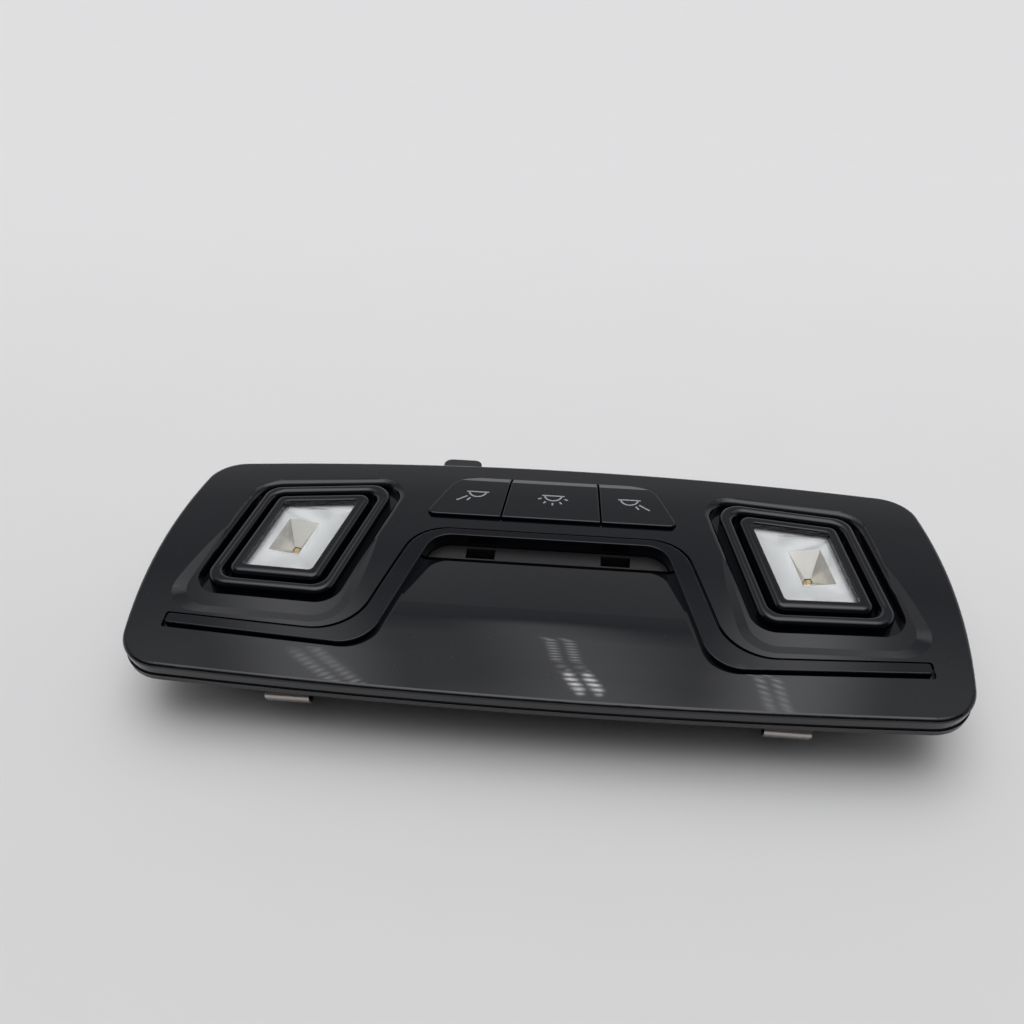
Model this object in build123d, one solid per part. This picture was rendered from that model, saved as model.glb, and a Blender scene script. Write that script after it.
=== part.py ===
from build123d import *

import os
from math import asin, cos, radians, sin, sqrt, tan

# Frame: X runs along the lamp, Y towards its rear edge, Z out of the visible face.
# The origin lies on the flat back of the rear housing, under the middle of the face.
# All sizes are in millimetres.

# Face of the bezel
FACE_LENGTH = 215.0
FACE_DEPTH = 92.2
FACE_HEIGHT = 25.0
CROWN_ACROSS = 500.0
REAR_BOW = 7.0
FRONT_BOW = 3.0
SIDE_BOW = 4.6
END_FLARE = 1.0
REAR_CORNER = 11.0
FRONT_CORNER = 12.0
FACE_WALL = 2.2
RIM_HEIGHT = 5.4
RIM_DRAFT = 8.0
EDGE_ROUND = 1.0
RIM_LIP = 0.35
RIM_LIP_HEIGHT = 1.7

# Reading lamp window, a four-sided opening that leans towards the rear middle
LAMP_END_GAP = 37.7
LAMP_BACK = 6.5
WINDOW_WIDTH = 19.9
WINDOW_DEPTH = 29.3
WINDOW_INNER_LEAN = 11.2
WINDOW_OUTER_LEAN = 9.2
WINDOW_REAR_TILT = 7.1
WINDOW_FRONT_TILT = 2.0
WINDOW_CORNER = 1.2

# Rings round the window, from the lens frame outwards
FRAME_WALL = 3.2
FRAME_RISE = 0.6
FRAME_ROUND = 1.6
WINDOW_ROUND = 0.5
FRAME_FLANGE = 2.2
FLANGE_THICKNESS = 1.4
GROOVE_WIDTH = 1.5
RING_WIDTH = 3.3
RING_RISE = 0.3
RING_ROUND = 1.45
MOAT_WIDTH = 2.0
MOAT_DEPTH = 3.8
MOAT_ROUND = 2.0
DISH_MARGIN = 1.6
DISH_FRONT_REACH = 3.4
DISH_SLOPE_WIDTH = 4.5
DISH_SLOPE_RISE = 1.3
DISH_PIVOT = 2.0
DISH_TILT = 3.2
COLLAR_WALL = 2.0
COLLAR_DEPTH = 6.0
CORNER_GROWTH = 0.55

# Lens, reflector and light source of each lamp
LENS_OVERLAP = 0.8
LENS_DROP = 2.0
LENS_THICKNESS = 1.2
REFLECTOR_WALL = 1.0
CUP_LENGTH = 14.2
CUP_WIDTH = 9.1
CUP_DEPTH = 4.9
CUP_TURN = 10.0
CUP_OUTWARD = 2.2
CUP_REARWARD = 1.2
LED_SIZE = 1.2
LED_HEIGHT = 0.9

# Bridge-shaped trim strip
TRIM_END_GAP = 11.7
TRIM_END_REAR = -26.8
TRIM_END_FRONT = -30.0
TRIM_BEND_REAR = (47.5, -29.3)
TRIM_BEND_FRONT = (43.0, -33.1)
TRIM_TOP_REAR = (36.5, 12.6)
TRIM_TOP_FRONT = (32.0, 9.8)
TRIM_BEND_REAR_RADIUS = 14.0
TRIM_BEND_FRONT_RADIUS = 10.0
TRIM_TOP_REAR_RADIUS = 12.0
TRIM_TOP_FRONT_RADIUS = 7.0
TRIM_END_RADIUS = 0.8
TRIM_RISE = 0.4
TRIM_SEAT = 1.3
TRIM_ROUND = 0.35
TRIM_REAR_GAP = 0.7
TRIM_FRONT_GAP = 1.3
TRIM_PIN_DIAMETER = 2.0
TRIM_PIN_LENGTH = 2.4
TRIM_PIN_INSET = 8.0

# Scoop inside the bridge, and the open window at its rear end
SCOOP_START = -27.0
SCOOP_ROLL = 60.0
SCOOP_SLOPE = 7.0
PANEL_EDGE = 2.8
WINDOW_COLLAR = 1.6

# Slot plate seen through that window, with a light guide under each slot
SLOT_PLATE_DROP = 3.6
SLOT_PLATE_THICKNESS = 1.4
SLOT_PLATE_FRONT_GAP = 1.3
SLOT_SPACING = 37.5
SLOT_LENGTH = 8.1
SLOT_WIDTH = 4.0
SLOT_FRONT_BAR = 0.5
CHAMBER_WALL = 1.0
GUIDE_DROP = 1.2
GUIDE_LED_SIZE = 2.0
GUIDE_LED_HEIGHT = 0.8

# Push buttons
POCKET_REAR_GAP = 7.4
POCKET_DEPTH = 20.7
POCKET_FRONT_HALF = 36.4
POCKET_REAR_HALF = 28.6
POCKET_FRONT_RADIUS = 2.0
POCKET_REAR_RADIUS = 11.0
POCKET_WALL = 1.8
POCKET_SKIRT = 1.2
SPLIT_FRONT = 14.3
SPLIT_REAR = 12.8
BUTTON_SPLIT_GAP = 0.4
BUTTON_RISE = 1.1
BUTTON_FACET = 3.2
BUTTON_FACET_DROP = 0.9
BUTTON_WALL = 1.5
BUTTON_ROUND = 0.4
BUTTON_LIP = 1.2
BUTTON_LIP_THICKNESS = 1.0
BUTTON_TRAVEL = 0.8
STEM_DIAMETER = 5.0

# Tact switch under each button
SWITCH_SIZE = 6.2
SWITCH_HEIGHT = 3.4
SWITCH_BASE = 0.4
PLUNGER_DIAMETER = 3.4
PLUNGER_SPARE = 0.7
PLUNGER_STANDOUT = BUTTON_TRAVEL + PLUNGER_SPARE
PLUNGER_DEPTH = 1.9
OUTER_BUTTON_MIDDLE = 24.0

# Circuit board and what it carries
BOARD_THICKNESS = 1.6
BOARD_FRONT_GAP = 12.1
BOARD_REAR_GAP = 1.5
BOARD_END_REACH = 10.0
BOARD_CORNER = 3.0
CHIP_LENGTH = 6.0
CHIP_WIDTH = 4.0
CHIP_HEIGHT = 1.2
CHIP_X = -24.0
CHIP_INSET = 9.5
SIGN_LED_SIZE = 1.6
SIGN_LED_HEIGHT = 0.7

# Connector header on the back of the board
CONNECTOR_INSET = 7.0
CONNECTOR_LENGTH = 20.0
CONNECTOR_WIDTH = 9.6
CONNECTOR_WALL = 1.3
CONNECTOR_FLOOR = 2.4
CONNECTOR_RECESS = 1.5
PIN_COUNT = 6
PIN_PITCH = 2.5
PIN_SIZE = 0.64
PIN_END_GAP = 3.0
KEYWAY_WIDTH = 4.0
KEYWAY_DEPTH = 5.0

# Rear housing
HOUSING_END_GAP = 11.5
HOUSING_FRONT_GAP = 16.5
HOUSING_REAR_GAP = 9.1
HOUSING_CORNER = 22.0
HOUSING_WALL = 2.0
HOUSING_FLOOR = 2.0
HOUSING_BOTTOM_ROUND = 1.5
HOUSING_RIM_DROP = 0.5
LOCATING_RIB = 1.5
LOCATING_RIB_DROP = 3.0
FLOOR_RIB_HEIGHT = 3.0
FLOOR_RIB_WALL = 1.4
FLOOR_RIB_PLACE = 20.0
PEG_DIAMETER = 3.0
PEG_POST_DIAMETER = 6.0
PEG_X = 24.0
PEG_INSET = 4.0

# Locating tongue on the rear of the housing
TONGUE_MIDDLE = -30.5
TONGUE_WIDTH = 12.0
TONGUE_REACH = 12.0
TONGUE_THICKNESS = 2.4
TONGUE_DROP = 2.0
TONGUE_CORNER = 2.5
TONGUE_RIB = 1.4
TONGUE_RIB_DEPTH = 5.0

# Screws from the back, through housing posts into bosses of the bezel
SCREW_DIAMETER = 2.9
SCREW_HEAD_DIAMETER = 5.6
SCREW_HEAD_HEIGHT = 1.9
SCREW_SEAT = 5.0
SCREW_REACH = 2.8
DRIVE_LENGTH = 2.8
DRIVE_WIDTH = 0.7
DRIVE_DEPTH = 1.1
BOSS_DIAMETER = 6.4
POST_DIAMETER = 8.6
END_SCREW_GAP = 23.5
END_SCREW_INSET = 9.0
INNER_SCREW_X = 41.0
INNER_SCREW_INSET = 9.0
REAR_SCREW_X = 40.6
REAR_SCREW_INSET = 7.4

# Spring clips on towers under the front edge
CLIP_SPACING = 122.7
CLIP_WIDTH = 11.2
CLIP_STEEL = 0.5
CLIP_BULGE = 2.0
CLIP_BULGE_HEIGHT = 3.4
CLIP_BEND = 1.2
CLIP_FOLD = 0.9
CLIP_HEIGHT = 5.6
CLIP_TOP_GAP = 0.6
CLIP_EDGE_GAP = 5.2
TOWER_THICKNESS = 1.6
TOWER_WIDTH = 9.6
TOWER_GUSSET = 4.0

# Clearances
FIT = 0.25
SLIDE_FIT = 0.3
CLOSE_FIT = 0.05
LED_GAP = 0.2
OVERLAP = 1.0

# Heights that follow from the sizes above
SKY = FACE_HEIGHT + 2 * OVERLAP + BUTTON_RISE


def crown_profile(y):
    """Height of the crowned face, which arches from front to rear."""
    return FACE_HEIGHT - CROWN_ACROSS + sqrt(CROWN_ACROSS**2 - y**2)


LAMP_X = FACE_LENGTH / 2 - LAMP_END_GAP
LAMP_Z = crown_profile(LAMP_BACK)
EDGE_Z = crown_profile(FACE_DEPTH / 2)
RIM_Z = EDGE_Z - RIM_HEIGHT
CLIP_LOW = RIM_Z - CLIP_HEIGHT
BEZEL_LOW = CLIP_LOW
RING_INNER = FRAME_WALL + GROOVE_WIDTH
RING_OUTER = RING_INNER + RING_WIDTH
MOAT_OUTER = RING_OUTER + MOAT_WIDTH
DISH_FLOOR = MOAT_OUTER + DISH_MARGIN
DISH_OUTER = DISH_FLOOR + DISH_SLOPE_WIDTH
LENS_TOP = FRAME_RISE - LENS_DROP
PLATE_TOP = LENS_TOP - LENS_THICKNESS
CUP_FOOT = PLATE_TOP - CUP_DEPTH
BOARD_TOP = LAMP_Z + CUP_FOOT - LED_GAP - LED_HEIGHT
BOARD_LOW = BOARD_TOP - BOARD_THICKNESS
SLOT_PLATE_TOP = FACE_HEIGHT - SLOT_PLATE_DROP
SWITCH_TOP = BOARD_TOP + SWITCH_HEIGHT
PLUNGER_TOP = SWITCH_TOP + PLUNGER_STANDOUT
POCKET_REAR = FACE_DEPTH / 2 - POCKET_REAR_GAP
POCKET_FRONT = POCKET_REAR - POCKET_DEPTH
POCKET_LOW = crown_profile(POCKET_REAR + POCKET_WALL) - FACE_WALL
LIP_TOP = POCKET_LOW - CLOSE_FIT
LIP_LOW = LIP_TOP - BUTTON_LIP_THICKNESS
BUTTON_MIDDLE = (POCKET_FRONT + POCKET_REAR) / 2
WINDOW_LOW = SLOT_PLATE_TOP - SLOT_PLATE_THICKNESS
HOUSING_LENGTH = FACE_LENGTH - 2 * HOUSING_END_GAP
HOUSING_FRONT = HOUSING_FRONT_GAP - FACE_DEPTH / 2
HOUSING_REAR = FACE_DEPTH / 2 - HOUSING_REAR_GAP
HOUSING_DEPTH = HOUSING_REAR - HOUSING_FRONT
HOUSING_MIDDLE = (HOUSING_FRONT + HOUSING_REAR) / 2
HOUSING_TOP = RIM_Z - HOUSING_RIM_DROP
TRIM_END = FACE_LENGTH / 2 - TRIM_END_GAP
CLIP_LINE = -FACE_DEPTH / 2 + CLIP_EDGE_GAP
CLIP_X = CLIP_SPACING / 2
BOARD_FRONT = HOUSING_FRONT + HOUSING_WALL + BOARD_FRONT_GAP
BOARD_REAR = HOUSING_REAR - HOUSING_WALL - BOARD_REAR_GAP
CHIP_PLACE = (CHIP_X, BOARD_FRONT + CHIP_INSET)
CONNECTOR_PLACE = (0.0, BOARD_FRONT + CONNECTOR_INSET)
PEG_PLACE = (PEG_X, BOARD_FRONT + PEG_INSET)
SCREW_LENGTH = RIM_Z + SCREW_REACH - SCREW_SEAT
END_SCREW_PLACE = (FACE_LENGTH / 2 - END_SCREW_GAP, HOUSING_FRONT + END_SCREW_INSET)
INNER_SCREW_PLACE = (INNER_SCREW_X, HOUSING_FRONT + INNER_SCREW_INSET)
REAR_SCREW_PLACE = (REAR_SCREW_X, HOUSING_REAR - REAR_SCREW_INSET)
SCREW_PLACES = [END_SCREW_PLACE, INNER_SCREW_PLACE, REAR_SCREW_PLACE]


def both_sides(solid):
    """A solid of the right half together with its mirror image."""
    return solid + mirror(solid, about=Plane.YZ)


def outline(points, radii):
    """Flat face inside straight sides with rounded corners."""
    return make_face(FilletPolyline(*points, radius=radii, close=True))


def prism(sketch, low, high):
    """Upright prism over a flat plan between two heights."""
    return extrude(Pos(0, 0, low) * sketch, high - low)


def drawn_along(profile):
    """Profile in the YZ plane, drawn along the lamp past both ends."""
    return extrude(profile, FACE_LENGTH, both=True)


def crown(rise):
    """Everything below the crowned face moved out by a rise, or in if it is negative."""
    radius = CROWN_ACROSS + rise
    top = FACE_HEIGHT + rise
    reach = FACE_DEPTH
    side = top - radius + sqrt(radius**2 - reach**2)
    low = -FACE_HEIGHT
    arc = ThreePointArc((0, -reach, side), (0, 0, top), (0, reach, side))
    sides = Polyline((0, reach, side), (0, reach, low), (0, -reach, low), (0, -reach, side))
    return drawn_along(make_face([arc, sides]))


def near(plan, x, y):
    """The corner of a plan that lies nearest to a point."""
    return plan.vertices().sort_by_distance((x, y, 0))[0]


def face_plan(inset=0.0):
    """Plan of the face, drawn in by an inset: four bowed edges and round corners."""
    end = FACE_LENGTH / 2 - inset
    edge = FACE_DEPTH / 2 - inset
    half_rear = end - SIDE_BOW
    half_front = half_rear + END_FLARE
    rear = edge - REAR_BOW
    front = FRONT_BOW - edge
    middle = (rear + front) / 2
    edges = [
        ThreePointArc((-half_rear, rear), (0, edge), (half_rear, rear)),
        ThreePointArc((half_rear, rear), (end, middle), (half_front, front)),
        ThreePointArc((half_front, front), (0, -edge), (-half_front, front)),
        ThreePointArc((-half_front, front), (-end, middle), (-half_rear, rear)),
    ]
    plan = make_face(edges)
    plan = fillet([near(plan, side * half_rear, rear) for side in (-1, 1)], REAR_CORNER - inset)
    return fillet([near(plan, side * half_front, front) for side in (-1, 1)], FRONT_CORNER - inset)


def drafted_body(inset, low):
    """Block under the face with sides that draw in downwards from the face's edge."""
    draft = tan(radians(RIM_DRAFT))
    foot = face_plan(inset + (EDGE_Z - low) * draft)
    head = face_plan(inset - (SKY - EDGE_Z) * draft)
    return loft([Pos(0, 0, low) * foot, Pos(0, 0, SKY) * head], ruled=True)


def meeting_point(point_a, angle_a, point_b, angle_b):
    """Where two lines meet, each given by a point and an angle in degrees."""
    ax, ay = cos(radians(angle_a)), sin(radians(angle_a))
    bx, by = cos(radians(angle_b)), sin(radians(angle_b))
    dx, dy = point_b[0] - point_a[0], point_b[1] - point_a[1]
    along = (dx * by - dy * bx) / (ax * by - ay * bx)
    return (point_a[0] + along * ax, point_a[1] + along * ay)


def lamp_plan(grow, front_reach=0.0):
    """Lamp window grown by a margin on all sides, with more at the front if wanted."""
    inner = ((-WINDOW_WIDTH / 2, 0), 90 + WINDOW_INNER_LEAN)
    outer = ((WINDOW_WIDTH / 2, 0), 90 + WINDOW_OUTER_LEAN)
    rear = ((0, WINDOW_DEPTH / 2 + grow / cos(radians(WINDOW_REAR_TILT))), -WINDOW_REAR_TILT)
    front_y = -WINDOW_DEPTH / 2 - (grow + front_reach) / cos(radians(WINDOW_FRONT_TILT))
    front = ((0, front_y), WINDOW_FRONT_TILT)
    inner = ((inner[0][0] - grow / cos(radians(WINDOW_INNER_LEAN)), 0), inner[1])
    outer = ((outer[0][0] + grow / cos(radians(WINDOW_OUTER_LEAN)), 0), outer[1])
    corners = [
        meeting_point(*inner, *rear),
        meeting_point(*outer, *rear),
        meeting_point(*outer, *front),
        meeting_point(*inner, *front),
    ]
    return outline(corners, [WINDOW_CORNER + CORNER_GROWTH * grow] * len(corners))


def lamp_plane():
    """Plane that touches the crown over the middle of the right lamp, with X outwards."""
    lean = asin(LAMP_BACK / CROWN_ACROSS)
    return Plane((LAMP_X, LAMP_BACK, LAMP_Z), x_dir=(1, 0, 0), z_dir=(0, sin(lean), cos(lean)))


LAMP_PLANE = lamp_plane()


def lamp_prism(grow, low, high, front_reach=0.0):
    """Prism over the grown lamp window, between two heights above the lamp's plane."""
    return extrude(LAMP_PLANE.offset(low) * lamp_plan(grow, front_reach), high - low)


def dish_section(height, grow):
    """Section of the dish at a height over its floor, which dips from the lamp's middle to the front."""
    lean = asin(LAMP_BACK / CROWN_ACROSS) - radians(DISH_TILT)
    pivot = LAMP_PLANE.from_local_coords((0, DISH_PIVOT, 0))
    plane = Plane(pivot, x_dir=(1, 0, 0), z_dir=(0, sin(lean), cos(lean)))
    return plane.offset(height) * Pos(0, -DISH_PIVOT) * lamp_plan(grow, DISH_FRONT_REACH)


def dish_cut():
    """Shallow tray in front of the lamp: a flat floor with sloping sides that fade to the rear."""
    top = dish_section(DISH_SLOPE_RISE, DISH_OUTER)
    return loft([dish_section(0, DISH_FLOOR), top], ruled=True) + extrude(top, SKY - LAMP_Z)


def lamp_well_block():
    """Extra wall under the dish, and the collar that carries the lens frame."""
    under_dish = extrude(dish_section(-FACE_WALL, DISH_OUTER), SKY - LAMP_Z + FACE_WALL)
    return under_dish + lamp_prism(MOAT_OUTER + COLLAR_WALL, -COLLAR_DEPTH, SKY - LAMP_Z)


def lamp_ring():
    """Raised ring with a rounded top between the moat and the groove of the lens frame."""
    ring = lamp_prism(RING_OUTER, -MOAT_DEPTH - OVERLAP, RING_RISE)
    ring -= lamp_prism(RING_INNER, -MOAT_DEPTH - 2 * OVERLAP, RING_RISE + OVERLAP)
    top = ring.faces().sort_by(Axis(LAMP_PLANE.origin, LAMP_PLANE.z_dir))[-1]
    return fillet(top.edges(), RING_ROUND)


def bezel_block():
    """Solid block under the crowned face, with a rounded edge."""
    block = drafted_body(0, BEZEL_LOW) & crown(0)
    top = block.faces().sort_by(Axis.Z)[-1]
    block = fillet(top.outer_wire().edges(), EDGE_ROUND)
    lip_band = prism(Rectangle(2 * FACE_LENGTH, 2 * FACE_DEPTH), BEZEL_LOW, RIM_Z + RIM_LIP_HEIGHT)
    return block + (drafted_body(-RIM_LIP, BEZEL_LOW) & lip_band)


def cut_moats(block):
    """Sinks a channel with a rounded outer edge round each lamp."""
    block -= both_sides(lamp_prism(MOAT_OUTER, -MOAT_DEPTH, SKY - LAMP_Z))
    for side in (-1, 1):
        rear_edge = LAMP_PLANE.from_local_coords((0, WINDOW_DEPTH / 2 + MOAT_OUTER + OVERLAP, 0))
        face = block.faces().sort_by_distance((side * rear_edge.X, rear_edge.Y, rear_edge.Z))[0]
        moat = face.inner_wires().sort_by_distance((side * LAMP_X, LAMP_BACK, LAMP_Z))[0]
        block = fillet(moat.edges(), MOAT_ROUND)
    return block


def bezel_cavity():
    """What is carved out of the block from behind: it leaves the walls, ribs, bosses and towers."""
    below = prism(Rectangle(2 * FACE_LENGTH, 2 * FACE_DEPTH), BEZEL_LOW - OVERLAP, RIM_Z)
    cavity = below + (drafted_body(FACE_WALL, BEZEL_LOW) & crown(-FACE_WALL))
    cavity -= both_sides(lamp_well_block())
    cavity -= scoop_block()
    cavity -= prism(offset(pocket_plan(), POCKET_WALL), POCKET_LOW, SKY)
    cavity -= pocket_skirt()
    cavity -= locating_rib()
    cavity -= both_sides(clip_tower())
    for place in SCREW_PLACES:
        low = BOARD_TOP if place == REAR_SCREW_PLACE else BOARD_LOW
        cavity -= both_sides(screw_boss(place, low))
    return cavity


def trim_points():
    """Corners of the right half of the strip: rear edge from the end inwards, then front edge."""
    rear = [(TRIM_END, TRIM_END_REAR), TRIM_BEND_REAR, TRIM_TOP_REAR]
    front = [(TRIM_END, TRIM_END_FRONT), TRIM_BEND_FRONT, TRIM_TOP_FRONT]
    return rear, front


def trim_plan(rear_gap=0.0, front_gap=0.0):
    """Plan of the bridge-shaped strip, or of its groove with a gap behind and in front of it."""
    rear, front = trim_points()
    rear = [(x + rear_gap, y + rear_gap) for x, y in rear]
    front = [(front[0][0] + rear_gap, front[0][1] - front_gap)] + [
        (x - front_gap, y - front_gap) for x, y in front[1:]
    ]
    rear_radii = [TRIM_END_RADIUS, TRIM_BEND_REAR_RADIUS, TRIM_TOP_REAR_RADIUS]
    front_radii = [TRIM_END_RADIUS, TRIM_BEND_FRONT_RADIUS, TRIM_TOP_FRONT_RADIUS]
    left = [(-x, y) for x, y in rear]
    left_front = [(-x, y) for x, y in front]
    points = rear + left[::-1] + left_front + front[::-1]
    radii = rear_radii + rear_radii[::-1] + front_radii + front_radii[::-1]
    return outline(points, radii)


def bridge_plan(front, low_radius):
    """Room between the legs of the bridge, from a front line up to the cross bar."""
    bend_x, bend_y = TRIM_BEND_FRONT
    top_x, top_y = TRIM_TOP_FRONT
    foot_x = top_x + (bend_x - top_x) * (top_y - front) / (top_y - bend_y)
    points = [(-foot_x, front), (foot_x, front), (top_x, top_y), (-top_x, top_y)]
    top = TRIM_TOP_FRONT_RADIUS
    return outline(points, [low_radius, low_radius, top, top])


def scoop_floor():
    """Everything above the scoop's floor: rolls off the crown, then a straight slope down."""
    lean = asin(-SCOOP_START / CROWN_ACROSS)
    slope = radians(SCOOP_SLOPE)
    start_z = crown_profile(SCOOP_START)
    middle = (slope - lean) / 2
    roll_y = SCOOP_START + SCOOP_ROLL * (sin(lean) + sin(middle))
    roll_z = start_z - SCOOP_ROLL * (cos(lean) - cos(middle))
    end_y = SCOOP_START + SCOOP_ROLL * (sin(lean) + sin(slope))
    end_z = start_z - SCOOP_ROLL * (cos(lean) - cos(slope))
    far_y = TRIM_TOP_REAR[1]
    far_z = end_z - (far_y - end_y) * tan(slope)
    roll = ThreePointArc((0, SCOOP_START, start_z), (0, roll_y, roll_z), (0, end_y, end_z))
    rest = Polyline((0, end_y, end_z), (0, far_y, far_z), (0, far_y, SKY), (0, SCOOP_START, SKY),
                    (0, SCOOP_START, start_z))
    return drawn_along(make_face([roll, rest]))


def scoop_block():
    """Extra wall under the scoop and the collar round the open window."""
    floor = scoop_floor().moved(Pos(0, 0, -FACE_WALL))
    under = prism(offset(bridge_plan(SCOOP_START, 0), WINDOW_COLLAR), WINDOW_LOW, SKY)
    return (under & floor) + prism(offset(bridge_plan(PANEL_EDGE, 0), WINDOW_COLLAR), WINDOW_LOW, SKY)


def pocket_plan():
    """Opening for the three buttons, narrower and rounder at the rear."""
    points = [
        (-POCKET_FRONT_HALF, POCKET_FRONT),
        (POCKET_FRONT_HALF, POCKET_FRONT),
        (POCKET_REAR_HALF, POCKET_REAR),
        (-POCKET_REAR_HALF, POCKET_REAR),
    ]
    return outline(points, [POCKET_FRONT_RADIUS] * 2 + [POCKET_REAR_RADIUS] * 2)


def lip_room():
    """Plan of the room that the lips of the buttons need under the face."""
    return offset(pocket_plan(), BUTTON_LIP + FIT)


def pocket_skirt():
    """Wall round the lips of the buttons that keeps the light in."""
    return prism(offset(lip_room(), POCKET_SKIRT) - lip_room(), RIM_Z, SKY)


def housing_plan(grow=0.0):
    """Plan of the rear housing, grown or drawn in by an amount."""
    length = HOUSING_LENGTH + 2 * grow
    depth = HOUSING_DEPTH + 2 * grow
    return Pos(0, HOUSING_MIDDLE) * RectangleRounded(length, depth, HOUSING_CORNER + grow)


def locating_rib():
    """Rib inside the bezel that the housing's rim slides into, open where the tongue passes."""
    low = RIM_Z - LOCATING_RIB_DROP
    rib = prism(housing_plan(FIT + LOCATING_RIB) - housing_plan(FIT), low, SKY)
    notch_plan = Pos(TONGUE_MIDDLE, HOUSING_REAR) * Rectangle(TONGUE_WIDTH + 2 * FIT, HOUSING_DEPTH / 2)
    rib -= prism(notch_plan, low - OVERLAP, RIM_Z - TONGUE_DROP + FIT)
    return rib - prism(lip_room(), LIP_LOW - BUTTON_TRAVEL - FIT, POCKET_LOW)


def screw_boss(place, low):
    """Boss under the face that a screw bites into."""
    return prism(Pos(*place) * Circle(BOSS_DIAMETER / 2), low, SKY)


def screw_bore(place):
    """Blind hole of a boss."""
    x, y = place
    radius = SCREW_DIAMETER / 2 + CLOSE_FIT
    return prism(Pos(x, y) * Circle(radius), 0, SCREW_SEAT + SCREW_LENGTH + FIT)


def clip_tower():
    """Plate under the front edge that carries a spring clip, with a gusset on its inner side."""
    low = CLIP_LOW + CLIP_STEEL
    high = RIM_Z + OVERLAP
    half = TOWER_WIDTH / 2
    points = [
        (CLIP_X - half, low),
        (CLIP_X + half, low),
        (CLIP_X + half, SKY),
        (CLIP_X - half - TOWER_GUSSET, SKY),
        (CLIP_X - half - TOWER_GUSSET, high),
    ]
    side = make_face(Polyline(*[(x, CLIP_LINE, z) for x, z in points], close=True))
    return extrude(side, TOWER_THICKNESS / 2, both=True)


def trim_pin_places():
    """Where the pins of the strip go through the right half of the face."""
    rear, front = trim_points()
    places = []
    for x in (TRIM_END - TRIM_PIN_INSET, TRIM_BEND_REAR[0] + TRIM_BEND_REAR_RADIUS):
        share = (x - TRIM_BEND_REAR[0]) / (TRIM_END - TRIM_BEND_REAR[0])
        y_rear = TRIM_BEND_REAR[1] + share * (TRIM_END_REAR - TRIM_BEND_REAR[1])
        share = (x - TRIM_BEND_FRONT[0]) / (TRIM_END - TRIM_BEND_FRONT[0])
        y_front = TRIM_BEND_FRONT[1] + share * (TRIM_END_FRONT - TRIM_BEND_FRONT[1])
        places.append((x, (y_rear + y_front) / 2))
    return places


def front_bezel():
    """Visible face with its lamp wells, button pocket, scoop, strip groove, bosses and towers."""
    bezel = cut_moats(bezel_block()) - bezel_cavity()
    bezel -= both_sides(dish_cut())
    bezel += both_sides(lamp_ring())
    bezel -= both_sides(lamp_prism(FRAME_WALL + FIT, -COLLAR_DEPTH - OVERLAP, SKY - LAMP_Z))
    bezel -= prism(trim_plan(TRIM_REAR_GAP, TRIM_FRONT_GAP), RIM_Z, SKY) - crown(-TRIM_SEAT)
    bezel -= prism(bridge_plan(SCOOP_START, 0), RIM_Z, SKY) & scoop_floor()
    bezel -= prism(bridge_plan(PANEL_EDGE, 0), 0, SKY)
    bezel -= prism(pocket_plan(), 0, SKY)
    for place in SCREW_PLACES:
        bezel -= both_sides(screw_bore(place))
    for place in trim_pin_places():
        bore = Pos(*place) * Circle(TRIM_PIN_DIAMETER / 2 + CLOSE_FIT)
        bezel -= both_sides(prism(bore, RIM_Z, SKY))
    return bezel


def trim_strip():
    """Bridge-shaped inlay that stands a little proud of the face, with pins on its back."""
    strip = prism(trim_plan(), RIM_Z, SKY) & crown(TRIM_RISE)
    strip -= crown(-TRIM_SEAT)
    broad = strip.faces().sort_by(SortBy.AREA)[-2:]
    strip = fillet(broad.sort_by(Axis.Z)[-1].edges(), TRIM_ROUND)
    for place in trim_pin_places():
        seat = crown_profile(place[1]) - TRIM_SEAT
        pin = prism(Pos(*place) * Circle(TRIM_PIN_DIAMETER / 2), seat - TRIM_PIN_LENGTH, seat + TRIM_ROUND)
        strip += both_sides(pin)
    return strip


def lens_frame():
    """Inner ring of the right lamp: rounded rim, shoulder for the lens, flange under the collar."""
    low = -COLLAR_DEPTH - FLANGE_THICKNESS
    upwards = Axis(LAMP_PLANE.origin, LAMP_PLANE.z_dir)
    frame = lamp_prism(FRAME_WALL, low, FRAME_RISE) - lamp_prism(0, low - OVERLAP, FRAME_RISE + OVERLAP)
    top = frame.faces().sort_by(upwards)[-1]
    frame = fillet(top.outer_wire().edges(), FRAME_ROUND)
    top = frame.faces().sort_by(upwards)[-1]
    frame = fillet(top.inner_wires()[0].edges(), WINDOW_ROUND)
    frame += lamp_prism(FRAME_WALL + FRAME_FLANGE, low, -COLLAR_DEPTH)
    return frame - lamp_prism(LENS_OVERLAP + FIT, low - OVERLAP, LENS_TOP)


def lens():
    """Clear flat cover of the right lamp, held up against the shoulder of its frame."""
    return lamp_prism(LENS_OVERLAP, PLATE_TOP, LENS_TOP)


def cup_section(height, length, width):
    """Level section of the reflector's cup, turned with the lean of the window."""
    place = Pos(CUP_OUTWARD, CUP_REARWARD) * Rot(0, 0, CUP_TURN)
    return LAMP_PLANE.offset(height) * place * Rectangle(width, length)


def cup(wall):
    """Four-sided funnel from the reflector's plate down to its light source, with a wall added."""
    foot = LED_SIZE + 2 * FIT + 2 * wall
    mouth = cup_section(PLATE_TOP, CUP_LENGTH + 2 * wall, CUP_WIDTH + 2 * wall)
    return loft([mouth, cup_section(CUP_FOOT, foot, foot)], ruled=True)


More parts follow.
